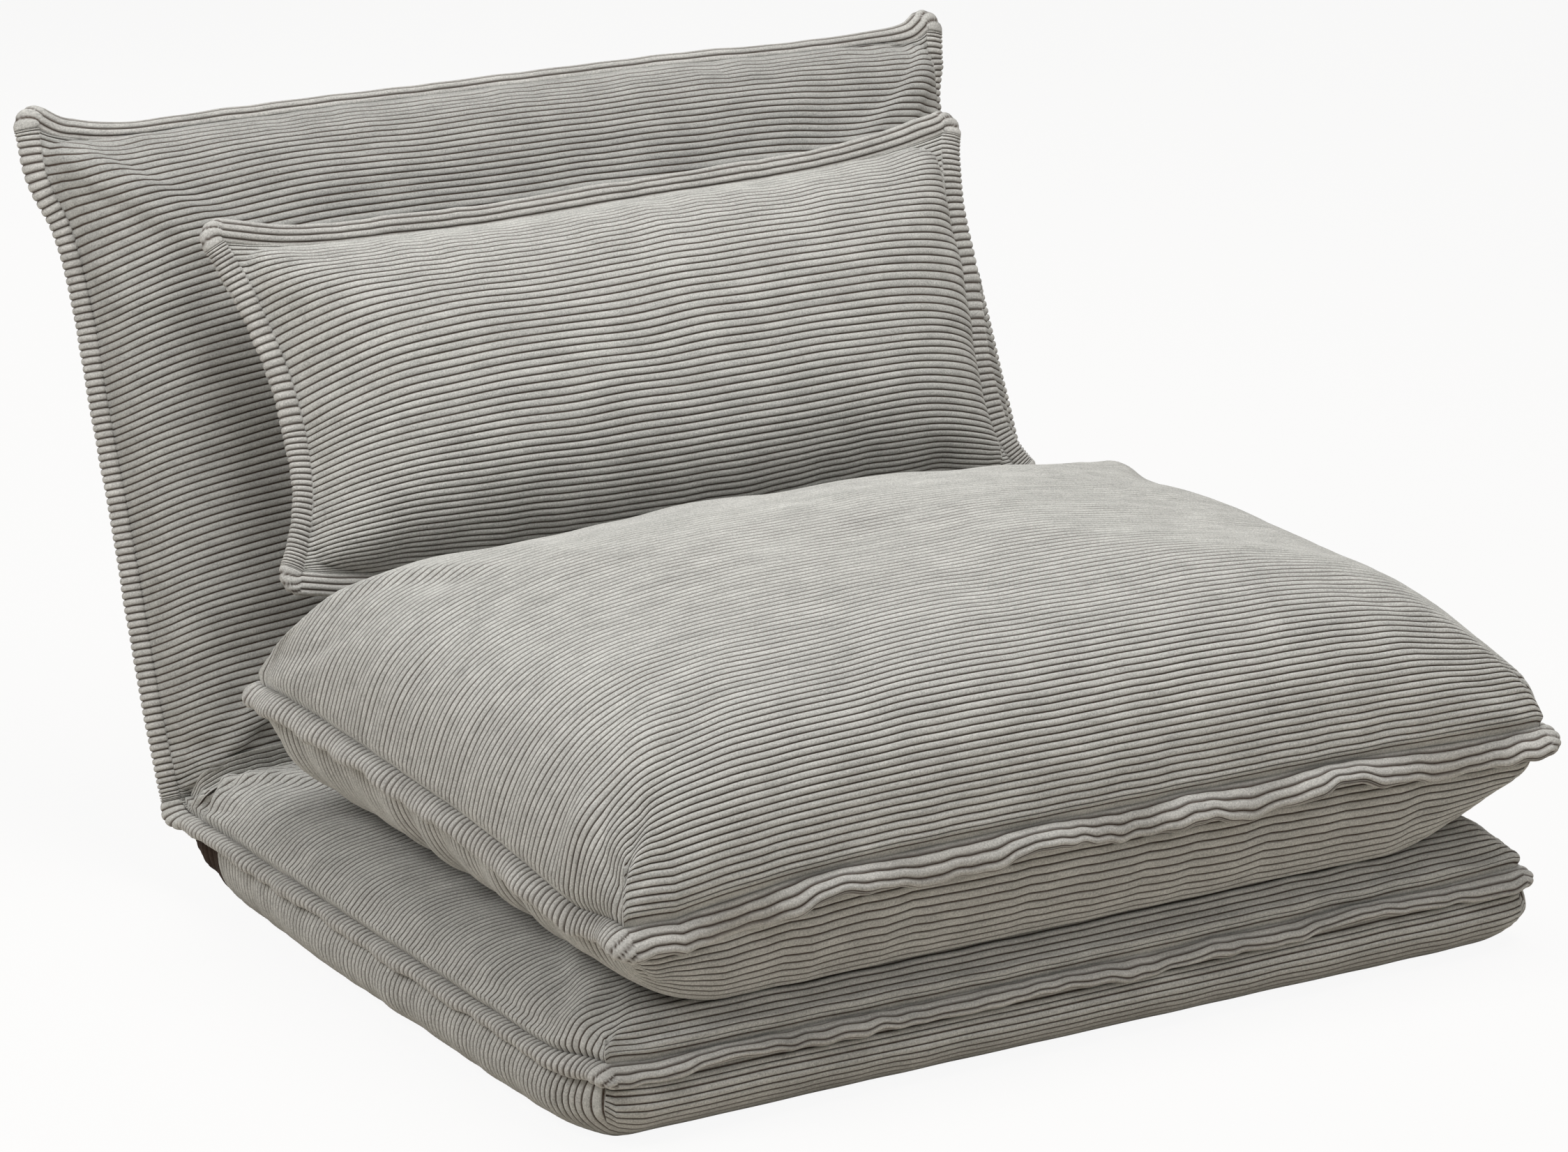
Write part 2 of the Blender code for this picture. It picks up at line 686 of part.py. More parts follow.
def main():
    for obj in list(bpy.data.objects):
        bpy.data.objects.remove(obj, do_unlink=True)
    parts = make_collection("Chair bed")
    cutters = make_collection("Cutters")
    fabrics = {
        "corduroy": make_material("Corduroy", (0.36, 0.33, 0.30), 0.95),
        "welt": make_material("Corduroy welt", (0.40, 0.37, 0.34), 0.95),
        "lining": make_material("Underside lining", (0.055, 0.035, 0.025), 0.90),
        "foam": make_material("Foam", (0.86, 0.80, 0.62), 0.95),
        "wadding": make_material("Fibre wadding", (0.90, 0.90, 0.88), 0.95),
        "tape": make_material("Hinge tape", (0.10, 0.09, 0.08), 0.85),
        "steel": make_material("Painted steel", (0.03, 0.03, 0.03), 0.45, 0.6),
    }
    fold_place = (0.0, FOLD_Y, BASE_SEAM_HEIGHT)
    build_base(parts, cutters, fabrics, add_empty("base_fold_line", parts, fold_place))
    raised = 90.0 - BACK_RECLINE
    back_fold = add_empty("back_fold_line", parts, fold_place, rotation_x=raised)
    build_back(parts, cutters, fabrics, back_fold)
    hinge_place = (0.0, SEAT_HINGE_Y, SEAT_HINGE_Z)
    build_seat(parts, fabrics, add_empty("seat_turning_line", parts, hinge_place))
    pillow_place = (0.0, PILLOW_UP_BACK, pillow_off_back())
    pillow_turn = BACK_RECLINE - PILLOW_LEAN
    seam = add_empty("pillow_seam", parts, pillow_place, pillow_turn, back_fold)
    build_pillow(parts, fabrics, seam)


main()
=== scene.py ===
"""Chair bed in wide-wale corduroy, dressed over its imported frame."""

import math

import bpy
import numpy as np
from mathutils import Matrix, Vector
from mathutils.kdtree import KDTree


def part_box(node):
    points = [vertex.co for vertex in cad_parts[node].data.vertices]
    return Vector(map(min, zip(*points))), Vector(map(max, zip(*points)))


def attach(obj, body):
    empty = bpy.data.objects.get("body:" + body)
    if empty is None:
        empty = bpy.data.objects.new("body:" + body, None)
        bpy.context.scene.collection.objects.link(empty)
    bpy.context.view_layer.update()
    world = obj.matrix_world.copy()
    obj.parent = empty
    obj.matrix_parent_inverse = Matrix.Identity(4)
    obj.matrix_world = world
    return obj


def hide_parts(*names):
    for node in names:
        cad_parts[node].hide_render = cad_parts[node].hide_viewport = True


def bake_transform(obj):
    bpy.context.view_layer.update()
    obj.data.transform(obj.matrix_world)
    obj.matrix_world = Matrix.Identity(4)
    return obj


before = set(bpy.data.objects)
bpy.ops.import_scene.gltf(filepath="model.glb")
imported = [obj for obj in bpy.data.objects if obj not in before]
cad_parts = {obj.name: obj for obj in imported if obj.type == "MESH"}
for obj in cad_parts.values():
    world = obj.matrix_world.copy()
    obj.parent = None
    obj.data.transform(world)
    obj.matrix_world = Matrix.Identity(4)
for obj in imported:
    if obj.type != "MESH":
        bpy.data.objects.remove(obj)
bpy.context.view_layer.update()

# Steel tube frames, crossbars and hinge arms
# Bent tube with a satin black powder coat, which lies between two foam slabs. The stamped arms are
# riveted together on the fold line.


class Signal:
    """A shader output that adds Math nodes when it is used in arithmetic."""

    def __init__(self, finish, socket):
        self.finish = finish
        self.socket = socket

    def join(self, operation, first, second):
        return self.finish.node("ShaderNodeMath", {"operation": operation}, {0: first, 1: second})

    def __add__(self, other):
        return self.join("ADD", self, other)

    def __sub__(self, other):
        return self.join("SUBTRACT", self, other)

    def __rsub__(self, other):
        return self.join("SUBTRACT", other, self)

    def __mul__(self, other):
        return self.join("MULTIPLY", self, other)

    def __pow__(self, other):
        return self.join("POWER", self, other)

    __radd__ = __add__
    __rmul__ = __mul__


class Finish:
    """A material whose nodes are added one by one and end in its Principled shader."""

    def __init__(self, name):
        self.material = bpy.data.materials.new(name)
        self.material.use_nodes = True
        self.tree = self.material.node_tree
        self.shader = self.tree.nodes["Principled BSDF"]

    def node(self, kind, settings, sockets, output=0):
        node = self.tree.nodes.new(kind)
        for key, value in settings.items():
            setattr(node, key, value)
        for key, value in sockets.items():
            self.feed(node.inputs[key], value)
        return Signal(self, node.outputs[output])

    def feed(self, socket, value):
        if isinstance(value, Signal):
            self.tree.links.new(value.socket, socket)
        else:
            socket.default_value = value

    def set(self, name, value):
        self.feed(self.shader.inputs[name], value)

    def place(self, stretch=(1, 1, 1)):
        where = self.node("ShaderNodeTexCoord", {}, {}, "Object")
        return self.node("ShaderNodeMapping", {}, {"Vector": where, "Scale": stretch})

    def noise(self, where, scale, detail=2.0, roughness=0.5):
        sockets = {"Vector": where, "Scale": scale, "Detail": detail, "Roughness": roughness}
        return self.node("ShaderNodeTexNoise", {}, sockets)

    def mix(self, amount, first, second):
        sockets = {0: amount, 6: first, 7: second}
        return self.node("ShaderNodeMix", {"data_type": "RGBA"}, sockets, 2)

    def bump(self, height, distance, strength=1.0):
        sockets = {"Height": height, "Distance": distance, "Strength": strength}
        self.set("Normal", self.node("ShaderNodeBump", {}, sockets))


def powder_coat():
    coat = Finish("Black powder coat")
    where = coat.place()
    orange_peel = coat.noise(where, 900.0, 1.0)
    scuffs = coat.noise(where, 35.0, 6.0, 0.7) ** 5.0
    coat.set("Base Color", coat.mix(scuffs * 2.0, (0.018, 0.018, 0.019, 1), (0.11, 0.11, 0.11, 1)))
    coat.set("Roughness", 0.34 + orange_peel * 0.2)
    coat.set("Metallic", 0.2)
    coat.bump(orange_peel, 0.00008)
    return coat.material


def zinc_plate():
    zinc = Finish("Zinc plated rivet")
    where = zinc.place()
    bloom = zinc.noise(where, 260.0, 4.0, 0.6)
    zinc.set("Base Color", zinc.mix(bloom, (0.42, 0.42, 0.41, 1), (0.66, 0.65, 0.62, 1)))
    zinc.set("Roughness", 0.28 + bloom * 0.25)
    zinc.set("Metallic", 1.0)
    zinc.bump(bloom, 0.00005)
    return zinc.material


def repaint(names, material):
    for name in names:
        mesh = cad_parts[name].data
        mesh.materials.clear()
        mesh.materials.append(material)


steel_nodes = [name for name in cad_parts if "frame" in name or "crossbar" in name or "arm" in name]
repaint(steel_nodes, powder_coat())
repaint(["hinge_rivet_left", "hinge_rivet_right"], zinc_plate())

# Base
# Thin padded slab on the floor: a corduroy top and a corduroy lower side, sewn together along a seam
# with a padded flange. The floor side and the rear rounding are a dark lining.

WALE = 0.0066
WALE_HEIGHT = 0.0021
WALE_SUNK = 0.7
WALE_STATIONS = np.array([0.0, 0.07, 0.17, 0.33, 0.5, 0.67, 0.83, 0.93])
SEAM_HALF = 0.0023


def ripple(x, y, length, seed):
    """Smooth, seeded unevenness of about the given wave length, mostly between -1 and 1."""
    dice = np.random.default_rng(seed)
    total = np.zeros(np.broadcast(x, y).shape)
    for _ in range(10):
        angle, phase = dice.uniform(0, 2 * math.pi, 2)
        wave = 2 * math.pi / (length * dice.uniform(0.7, 1.6))
        total += np.sin(wave * (x * math.cos(angle) + y * math.sin(angle)) + phase)
    return total / 4


def smooth(low, high, value):
    t = np.clip((value - low) / (high - low), 0, 1)
    return t * t * (3 - 2 * t)


def wale_lift(count):
    """Height of the pile, 0 in the groove and 1 on the wale, at a place counted in wales."""
    return 1 - np.abs(2 * (count - np.floor(count)) - 1) ** 3.0


# Share of the groove colour, which carries painted groove shade, at a place counted in wales.
def groove_depth(count):
    return smooth(0.64, 0.96, np.abs(2 * (count - np.floor(count)) - 1))


def wale_rows(low, high, stations=WALE_STATIONS):
    """Stations that follow each wale's section between two places counted in wales."""
    whole = np.arange(math.floor(low), math.ceil(high) + 1)
    rows = (whole[:, None] + stations).ravel()
    rows = rows[(rows > low + 0.03) & (rows < high - 0.03)]
    return np.concatenate([[low], rows, [high]])


def rounding(run, fullness):
    """Rise of a rounded edge, 0 at the seam and 1 where the rounding ends."""
    return (1 - (1 - np.clip(run, 0, 1)) ** fullness) ** (1 / fullness)


class Pad:
    """A padded section: the plan of its seam, the crowns of its two faces, and where it lies."""

    def __init__(self, half_width, low, high, turn, origin, seed, boxed):
        self.half_width = half_width
        self.low = low
        self.high = high
        self.half_depth = (high - low) / 2
        self.turn = math.radians(turn)
        self.origin = np.array(origin)
        self.seed = seed
        self.boxed = boxed
        self.faces = {}
        self.low_ear = (0.0, 0.0)
        self.high_ear = (0.0, 0.0)
        self.spread = 6
        self.point = 6
        self.perk = 1
        self.pulls = np.zeros((0, 6))
        self.bow = (0.0, 0.0, 6)
        self.crush = None
        self.settle = None
        self.swell = {}

    def face(self, side, shoulder, dome, rounds, **rest):
        usual = {
            "slope": 0.0,
            "fullness": 2.0,
            "gathers": 0.003,
            "lumps": 0.003,
            "hold": 1.0,
            "belly": (0.0, 0.0),
            "dart": (0.2, 0.2, 0.2),
        }
        self.faces[side] = {"shoulder": shoulder, "dome": dome, "rounds": rounds, **usual, **rest}

    def plan(self, u, w):
        """Place on the seam's plane, and how far the section drops there."""
        u, w = np.broadcast_arrays(np.asarray(u, float), np.asarray(w, float))
        over, under = np.maximum(w, 0), np.maximum(-w, 0)
        reach = self.low_ear[0] * under**self.spread + self.high_ear[0] * over**self.spread
        ear = self.high_ear[1] * over**self.perk - self.low_ear[1] * under**self.perk
        x = u * (self.half_width + reach)
        y = (self.low + self.high) / 2 + w * self.half_depth + ear * np.abs(u) ** self.point
        if len(self.pulls) == 0:
            return x, y, np.zeros_like(x)
        at_x, at_y, dx, dy, dz, radius = self.pulls.T
        weight = np.exp(-((x[..., None] - at_x) ** 2 + (y[..., None] - at_y) ** 2) / radius**2)
        total = np.maximum(weight.sum(-1), 1)
        x = x + (weight * dx).sum(-1) / total
        y = y + (weight * dy).sum(-1) / total
        return x, y, (weight * dz).sum(-1) / total

    def runs(self, side, u, w):
        """Distance from the side and the end seams, each as a share of the rounding there."""
        side_round, low_round, high_round = self.faces[side]["rounds"]
        to_side = (1 - np.abs(u)) * self.half_width / side_round
        to_low = (1 + w) * self.half_depth / low_round
        to_high = (1 - w) * self.half_depth / high_round
        return to_side, np.minimum(to_low, to_high)

    def crown(self, side, u, w):
        """Height over the seam, and how far up the rounding that is."""
        face = self.faces[side]
        to_side, to_end = self.runs(side, u, w)
        soft = 0.10 * smooth(0.04, 0.45, np.minimum(to_side, to_end)) if self.boxed else 0.07
        near_side, near_end = np.minimum(to_side, 1.6), np.minimum(to_end, 1.6)
        run = (near_side + near_end - np.sqrt((near_side - near_end) ** 2 + soft)) / 2
        rise = rounding(run, face["fullness"])
        if self.boxed:
            rise = rise * (1 - 0.15 * self.dart(side, u, w))
        full = (1 - np.abs(u) ** 3) * (1 - np.abs(w) ** 3)
        shoulder = face["shoulder"] + face["slope"] * w * self.half_depth
        return shoulder * rise + face["dome"] * full, rise

    def dart(self, side, u, w):
        """1 in the stitched dart of a boxed corner, 0 a few millimetres from it."""
        to_side, to_end = self.runs(side, u, w)
        off = (to_side - to_end) * self.faces[side]["rounds"][0] / 0.004
        stitched = smooth(0.18, 0.12, np.minimum(to_side, to_end)) * (self.faces[side]["dart"][0] < 1)
        return np.exp(-(off**2)) * stitched

    def surface(self, side, u, w):
        """The cover without its wales and gathers, in the seam's own frame."""
        x, y, drop = self.plan(u, w)
        height, rise = self.crown(side, u, w)
        face = self.faces[side]
        to_side, to_end = self.runs(side, u, w)
        side_rise, end_rise = rounding(to_side, face["fullness"]), rounding(to_end, face["fullness"])
        belly = face["belly"][0] * smooth(1.0, 0.2, w)
        x = x + np.sign(u) * belly * 4 * side_rise * (1 - side_rise) * end_rise
        y = y + np.minimum(np.sign(w), 0) * face["belly"][1] * 4 * end_rise * (1 - end_rise) * side_rise
        return np.stack([x, y, side * (SEAM_HALF + height) + drop * (1 - face["hold"] * rise)], -1)

    def normal(self, side, u, w):
        step = 0.004
        left, right = np.maximum(u - step, -1), np.minimum(u + step, 1)
        below, above = np.maximum(w - step, -1), np.minimum(w + step, 1)
        across = self.surface(side, right, w) - self.surface(side, left, w)
        along = self.surface(side, u, above) - self.surface(side, u, below)
        normal = side * np.cross(across, along)
        return normal / np.maximum(np.linalg.norm(normal, axis=-1, keepdims=True), 1e-9)

    def stand(self, points):
        """Turns points from the seam's own frame to where the section lies, then lets them settle."""
        x, y, z = points[..., 0], points[..., 1], points[..., 2]
        cos, sin = math.cos(self.turn), math.sin(self.turn)
        placed = np.stack([x, y * cos - z * sin, y * sin + z * cos], -1) + self.origin
        return self.settle(placed) if self.settle else placed

    def unevenness(self, side, u, w):
        """Gathers along the seams and soft lumps in the middle, measured off the smooth cover."""
        face = self.faces[side]
        seed = self.seed + (0 if side > 0 else 50)
        x = u * self.half_width
        y = w * self.half_depth
        to_side, to_end = self.runs(side, u, w)
        _, rise = self.crown(side, u, w)
        beside = smooth(-0.15, 0.15, to_end - to_side)
        side_folds = ripple(y, x * 0.15, 0.040, seed)
        end_folds = ripple(x, y * 0.15, 0.046, seed + 1)
        folds = beside * side_folds + (1 - beside) * end_folds
        swell = ripple(x, y, 0.24, seed + 2) + 0.35 * ripple(x, y, 0.10, seed + 3)
        off = face["gathers"] * folds * 4 * rise * (1 - rise)
        off = off + face["lumps"] * swell * smooth(0.2, 0.9, rise)
        if self.crush:
            end, amount, reach = self.crush
            near = smooth(reach, 0.2 * reach, (1 - end * w) * self.half_depth) * smooth(0.0, 0.35, rise)
            near = near * (0.35 + 0.65 * smooth(0.24, 0.10, (1 - np.abs(u)) * self.half_width))
            off = off + amount * near * ripple(y + 0.55 * end * np.abs(x), 0.12 * x, 0.026, seed + 5)
        return off

    def wales(self, side):
        """The section on the middle line, as w and the place there counted in wales."""
        w = np.linspace(-1, 1, 1601)
        y = w * self.half_depth
        height, _ = self.crown(side, 0.0 * w, w)
        length = np.concatenate([[0], np.cumsum(np.hypot(np.diff(y), np.diff(height)))])
        return w, (length - length[800]) / WALE + 0.5

    def dart_rounds(self, side):
        """The part of each rounding along which the corners are sewn as darts."""
        return [share * size for share, size in zip(self.faces[side]["dart"], self.faces[side]["rounds"])]

    def side_wales(self, side):
        """The wales where they meet the side seam; past the end roundings they are spaced on the plan."""
        w, count = self.wales(side)
        if not self.boxed:
            return w, count
        low_line, high_line = self.wale_lines(side)
        for line, past in ((low_line, count < low_line), (high_line, count > high_line)):
            edge = np.interp(line, count, w)
            count = np.where(past, line + (w - edge) * self.half_depth / WALE, count)
        return w, count

    def wale_lines(self, side):
        """The whole wales at which the darts of the corners end."""
        w, count = self.wales(side)
        _, low_round, high_round = self.dart_rounds(side)
        low = math.ceil(np.interp(low_round / self.half_depth - 1, w, count))
        return low, math.floor(np.interp(1 - high_round / self.half_depth, w, count))

    def skin(self, side, u, w, count):
        """Points of the cloth with its wales, and how deep in a groove each of them lies."""
        u, w, count = np.broadcast_arrays(np.asarray(u, float), np.asarray(w, float), count)
        sway = 0.0012 * ripple(u * self.half_width, w * self.half_depth, 0.12, self.seed + 9)
        bow = np.where(u < 0, self.bow[0], self.bow[1]) * np.abs(u) ** self.bow[2]
        w = w + (sway * (1 - w**2) - bow * (1 - w**8)) / self.half_depth
        height = WALE_HEIGHT * (0.9 + 0.15 * ripple(u * 4, count * 0.2, 1.0, self.seed + 7))
        if self.boxed:
            height = height * (1 - self.dart(side, u, w))
        off = self.unevenness(side, u, w) + height * (wale_lift(count) - WALE_SUNK)
        points = self.surface(side, u, w) + self.normal(side, u, w) * off[..., None]
        if side in self.swell:
            points = points + resample(self.swell[side], eased_place(w), eased_place(u))
        return self.stand(points), groove_depth(count)


def eased_place(share):
    """Where a place from -1 to 1 lies on an even grid that is denser near both seams, from 0 to 1."""
    return np.arcsin(np.clip(share, -1, 1)) / math.pi + 0.5


def resample(grid, down, across):
    """Smooth values between a grid's points, at places from 0 to 1 down and across it."""

    def taps(place, size):
        start = np.clip(np.floor(place * (size - 1)).astype(int), 0, size - 2)
        t = place * (size - 1) - start
        shares = [-t + 2 * t**2 - t**3, 2 - 5 * t**2 + 3 * t**3, t + 4 * t**2 - 3 * t**3, t**3 - t**2]
        return [(np.clip(start + i - 1, 0, size - 1), share / 2) for i, share in enumerate(shares)]

    total = 0.0
    for row, row_share in taps(down, grid.shape[0]):
        for column, column_share in taps(across, grid.shape[1]):
            total = total + grid[row, column] * (row_share * column_share)[..., None]
    return total


SIMULATED_FRAMES = 20


def puff_up(pad, rests, slack, cap):
    """Cloth simulation of both faces, held at the seam and where the pad rests on something.

    The form is already as full as the photographed one, so only the wrinkles that the slack cloth makes
    are kept, as moves off the smooth cover.
    """
    columns, rows = 121, 81
    u = np.sin(np.linspace(-1, 1, columns) * math.pi / 2)[None, :]
    w = np.sin(np.linspace(-1, 1, rows) * math.pi / 2)[:, None]
    rim = (np.abs(u) > 0.9999) | (np.abs(w) > 0.9999)
    starts = {}
    grids = []
    for side in (1, -1):
        points = pad.surface(side, u, w)
        points[..., 2] -= side * SEAM_HALF * rim
        _, rise = pad.crown(side, u, w)
        held = rim | ((side in rests) & (rise > 0.93))
        starts[side] = points
        grids.append(outward(side, (points, held.astype(float))))
    cover = sewn("puffed cover", grids, None)
    held = np.empty(len(cover.data.vertices), np.float32)
    cover.data.attributes["groove"].data.foreach_get("value", held)
    pins = cover.vertex_groups.new(name="held")
    pins.add([int(i) for i in np.flatnonzero(held > 0.5)], 1.0, "REPLACE")
    bpy.ops.object.modifier_add(type="CLOTH")
    cloth = cover.modifiers["Cloth"].settings
    cloth.quality = 6
    cloth.mass = 0.3
    cloth.compression_stiffness = 8
    cloth.bending_stiffness = 0.3
    cloth.use_pressure = True
    cloth.uniform_pressure_force = 4
    cloth.shrink_min = -slack
    cloth.vertex_group_mass = "held"
    cloth.effector_weights.gravity = 0
    for number in range(1, SIMULATED_FRAMES + 1):
        bpy.context.scene.frame_set(number)
    before = np.empty(3 * len(cover.data.vertices), np.float32)
    cover.data.vertices.foreach_get("co", before)
    bpy.ops.object.modifier_apply(modifier="Cloth")
    after = np.empty_like(before)
    cover.data.vertices.foreach_get("co", after)
    tree = KDTree(len(before) // 3)
    for index, place in enumerate(before.reshape(-1, 3)):
        tree.insert(place, index)
    tree.balance()
    moves = (after - before).reshape(-1, 3)
    for side, points in starts.items():
        found = [tree.find(place)[1] for place in points.reshape(-1, 3)]
        pad.swell[side] = wrinkles(moves[found].reshape(points.shape), cap)
    bpy.data.meshes.remove(cover.data)
    bpy.context.scene.frame_set(1)


def blurred(grid, passes):
    for axis in (0, 1):
        size = grid.shape[axis]
        for _ in range(passes):
            padded = np.pad(grid, [(1, 1) if a == axis else (0, 0) for a in range(3)], "edge")
            grid = sum(np.take(padded, range(i, i + size), axis) for i in range(3)) / 3
    return grid


def wrinkles(moves, cap):
    """The moves without their broad swelling, and none longer than cap."""
    broad = blurred(moves, 40)
    fine = blurred(moves - broad, 3)
    edge = np.ones(fine.shape[:2])
    edge[[0, -1]] = 0
    edge[:, [0, -1]] = 0
    length = np.maximum(np.linalg.norm(fine, axis=-1), 1e-9)
    return fine * (edge * np.minimum(1, cap / length))[..., None]


def cloth_grid(name, points, groove):
    """A grid primitive of as many rows and columns as there are points, moved onto them."""
    rows, columns = groove.shape
    bpy.ops.object.select_all(action="DESELECT")
    bpy.ops.mesh.primitive_grid_add(x_subdivisions=columns - 1, y_subdivisions=rows - 1)
    piece = bpy.context.object
    piece.name = name
    piece.data.vertices.foreach_set("co", points.reshape(-1).astype(np.float32))
    depth = piece.data.attributes.new("groove", "FLOAT", "POINT")
    depth.data.foreach_set("value", groove.reshape(-1).astype(np.float32))
    return piece


def sewn(name, grids, material):
    """Several grids of cloth joined along the edges that they share."""
    pieces = [cloth_grid(name, points, groove) for points, groove in grids]
    bpy.ops.object.select_all(action="DESELECT")
    for piece in pieces:
        piece.select_set(True)
    bpy.context.view_layer.objects.active = pieces[0]
    if len(pieces) > 1:
        bpy.ops.object.join()
    bpy.ops.object.mode_set(mode="EDIT")
    bpy.ops.mesh.select_all(action="SELECT")
    bpy.ops.mesh.remove_doubles(threshold=0.00005)
    bpy.ops.object.mode_set(mode="OBJECT")
    bpy.ops.object.shade_smooth()
    joined = bpy.context.object
    joined.name = name
    joined.data.name = name
    joined.data.materials.clear()
    if material:
        joined.data.materials.append(material)
    return joined


def turn_faces_out():
    """Turns the faces of the piece that was sewn last outward."""
    bpy.ops.object.mode_set(mode="EDIT")
    bpy.ops.mesh.select_all(action="SELECT")
    bpy.ops.mesh.normals_make_consistent(inside=False)
    bpy.ops.object.mode_set(mode="OBJECT")


def outward(side, grid):
    """Rows in the order that turns the grid's faces out of the cushion."""
    points, groove = grid
    return grid if side > 0 else (points[::-1], groove[::-1])


def eased_columns(count):
    """Places from -1 to 1 across a panel, closer together towards both sides."""
    spread = np.linspace(-1, 1, count + 1)
    return 0.4 * spread + 0.6 * np.sin(spread * math.pi / 2)


def boxed_panel(pad, side):
    """Grids of a face with boxed corners: a middle band, two end flaps and four corner gores."""
    w_table, count_table = pad.wales(side)
    side_round, low_round, high_round = pad.dart_rounds(side)
    low_line, high_line = pad.wale_lines(side)
    side_line = 1 - side_round / pad.half_width
    centre = eased_columns(72)
    flap = np.linspace(0, 1, 15)
    steep = 1 - np.cos(flap * math.pi / 2)
    grids = {}

    def add(name, u, w, count):
        grids[name] = outward(side, pad.skin(side, u, w, count))

    count = wale_rows(low_line, high_line)[:, None]
    w = np.interp(count, count_table, w_table)
    add("centre", centre * side_line, w, count)
    add("right", 1 - steep[::-1] * (1 - side_line), w, count)
    add("left", -1 + steep * (1 - side_line), w, count)
    for end, line, end_round in (("low", low_line, low_round), ("high", high_line, high_round)):
        sign = -1 if end == "low" else 1
        outer = count_table[0] if end == "low" else count_table[-1]
        count = wale_rows(min(line, outer), max(line, outer))[:, None]
        w = np.interp(count, count_table, w_table)
        share = np.minimum((1 - sign * w) * pad.half_depth / end_round, 1)
        add(end, centre * (1 - share * (1 - side_line)), w, count)
        line_w = float(np.interp(line, count_table, w_table))
        length = (1 - sign * line_w) * pad.half_depth / WALE
        dart_top = line + sign * length
        count = wale_rows(min(line, dart_top), max(line, dart_top))[:, None]
        seam_w = line_w + (count - line) * WALE / pad.half_depth
        edge_w = np.interp(count, count_table, w_table)
        gore = np.minimum((1 - sign * edge_w) * pad.half_depth / end_round, 1) * (1 - side_line)
        add(end + "_right", 1 - steep[::-1] * gore, seam_w + (edge_w - seam_w) * steep[::-1], count)
        add(end + "_left", -1 + steep * gore, seam_w + (edge_w - seam_w) * steep, count)
    return grids


def corduroy(name, pile, ground_with_shade):
    """Cotton corduroy: pale pile on the wales, with the sheen of its brushed nap painted as lighter and
    darker patches, and in the grooves a brown ground darkened further as painted groove shade.
    """
    cloth = Finish(name)
    where = cloth.place()
    depth = cloth.node("ShaderNodeAttribute", {"attribute_name": "groove"}, {}, "Fac")
    blotches = cloth.noise(where, 22.0, 4.0, 0.6)
    brushed = cloth.noise(cloth.place((0.22, 1, 1)), 90.0, 4.0, 0.65)
    fuzz = cloth.noise(where, 650.0, 3.0, 0.8)
    # The blotches and the brushed streaks paint the nap's sheen as lighter and darker patches of pile; the
    # fuzz is the grain of the pile.
    shade = blotches * 0.5 + brushed * 0.9 + fuzz * 2.2 - 1.3
    nap_shade_and_grain = tuple(c * 0.56 for c in pile[:3]) + (1,)
    nap_sheen_and_grain = tuple(min(c * 1.2, 1) for c in pile[:3]) + (1,)
    wales = cloth.mix(shade, nap_shade_and_grain, nap_sheen_and_grain)
    # In the grooves the colour turns to the ground, which is darkened past its own colour as painted
    # groove shade.
    cloth.set("Base Color", cloth.mix(depth * (0.5 + fuzz), wales, ground_with_shade))
    cloth.set("Roughness", 0.97 - fuzz * 0.1)
    cloth.set("Sheen Weight", 0.10)
    cloth.set("Sheen Roughness", 0.5)
    cloth.set("Specular IOR Level", 0.1)
    cloth.bump(fuzz + brushed, 0.0009, 0.7)
    return cloth.material


PILE = (0.567, 0.561, 0.530, 1)
# The colour in the grooves: the brown ground between the wales, made darker than its own colour so that it
# also paints the shade in the grooves.
GROUND_WITH_GROOVE_SHADE = (0.050, 0.028, 0.017, 1)
panel_cloth = corduroy("Corduroy", PILE, GROUND_WITH_GROOVE_SHADE)
FOLD = (0.0, 0.375, 0.065)
BASE_SAG = 0.003
FLOOR_GAP = 0.0004


def base_settle(points):
    """Keeps the slab on the floor, with its front edge sagging a little between the corners."""
    x, y, z = points[..., 0], points[..., 1], points[..., 2]
    sag = BASE_SAG * smooth(-0.30, -0.38, y) * np.cos(np.clip(x / 0.48, -1, 1) * math.pi / 2) ** 2
    return np.stack([x, y, np.maximum(z - sag * smooth(0.0, 0.06, z), FLOOR_GAP)], -1)


base = Pad(0.466, -0.737, -0.0153, 0.0, FOLD, 11, boxed=True)
base.low_ear = (0.002, 0.004)
base.pulls = np.array(
    [
        [-0.468, -0.741, 0.018, 0.004, 0.004, 0.040],
        [0.468, -0.741, -0.004, 0.006, 0.0, 0.060],
    ]
)
base.face(
    1,
    0.0457,
    0.0,
    (0.060, 0.055, 0.050),
    fullness=2.6,
    gathers=0.0015,
    lumps=0.0012,
    belly=(0.006, 0.003),
)
base.face(
    -1,
    0.0627,
    0.0,
    (0.024, 0.020, 0.090),
    fullness=2.2,
    gathers=0.0008,
    lumps=0.0,
    dart=(1.0, 1.0, 0.5),
    belly=(0.018, 0.019),
)
base.crush = (1, 0.0030, 0.10)
base.settle = base_settle
puff_up(base, (-1,), 0.008, 0.004)

base_top = sewn("base_top", list(boxed_panel(base, 1).values()), panel_cloth)
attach(base_top, "base")
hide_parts("base_top_cover", "base_upper_foam")

under = boxed_panel(base, -1)
band_names = ["left", "right", "low", "low_left", "low_right"]
base_band = sewn("base_band", [under[name] for name in band_names], panel_cloth)
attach(base_band, "base")
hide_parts("base_side_band", "base_lower_foam")


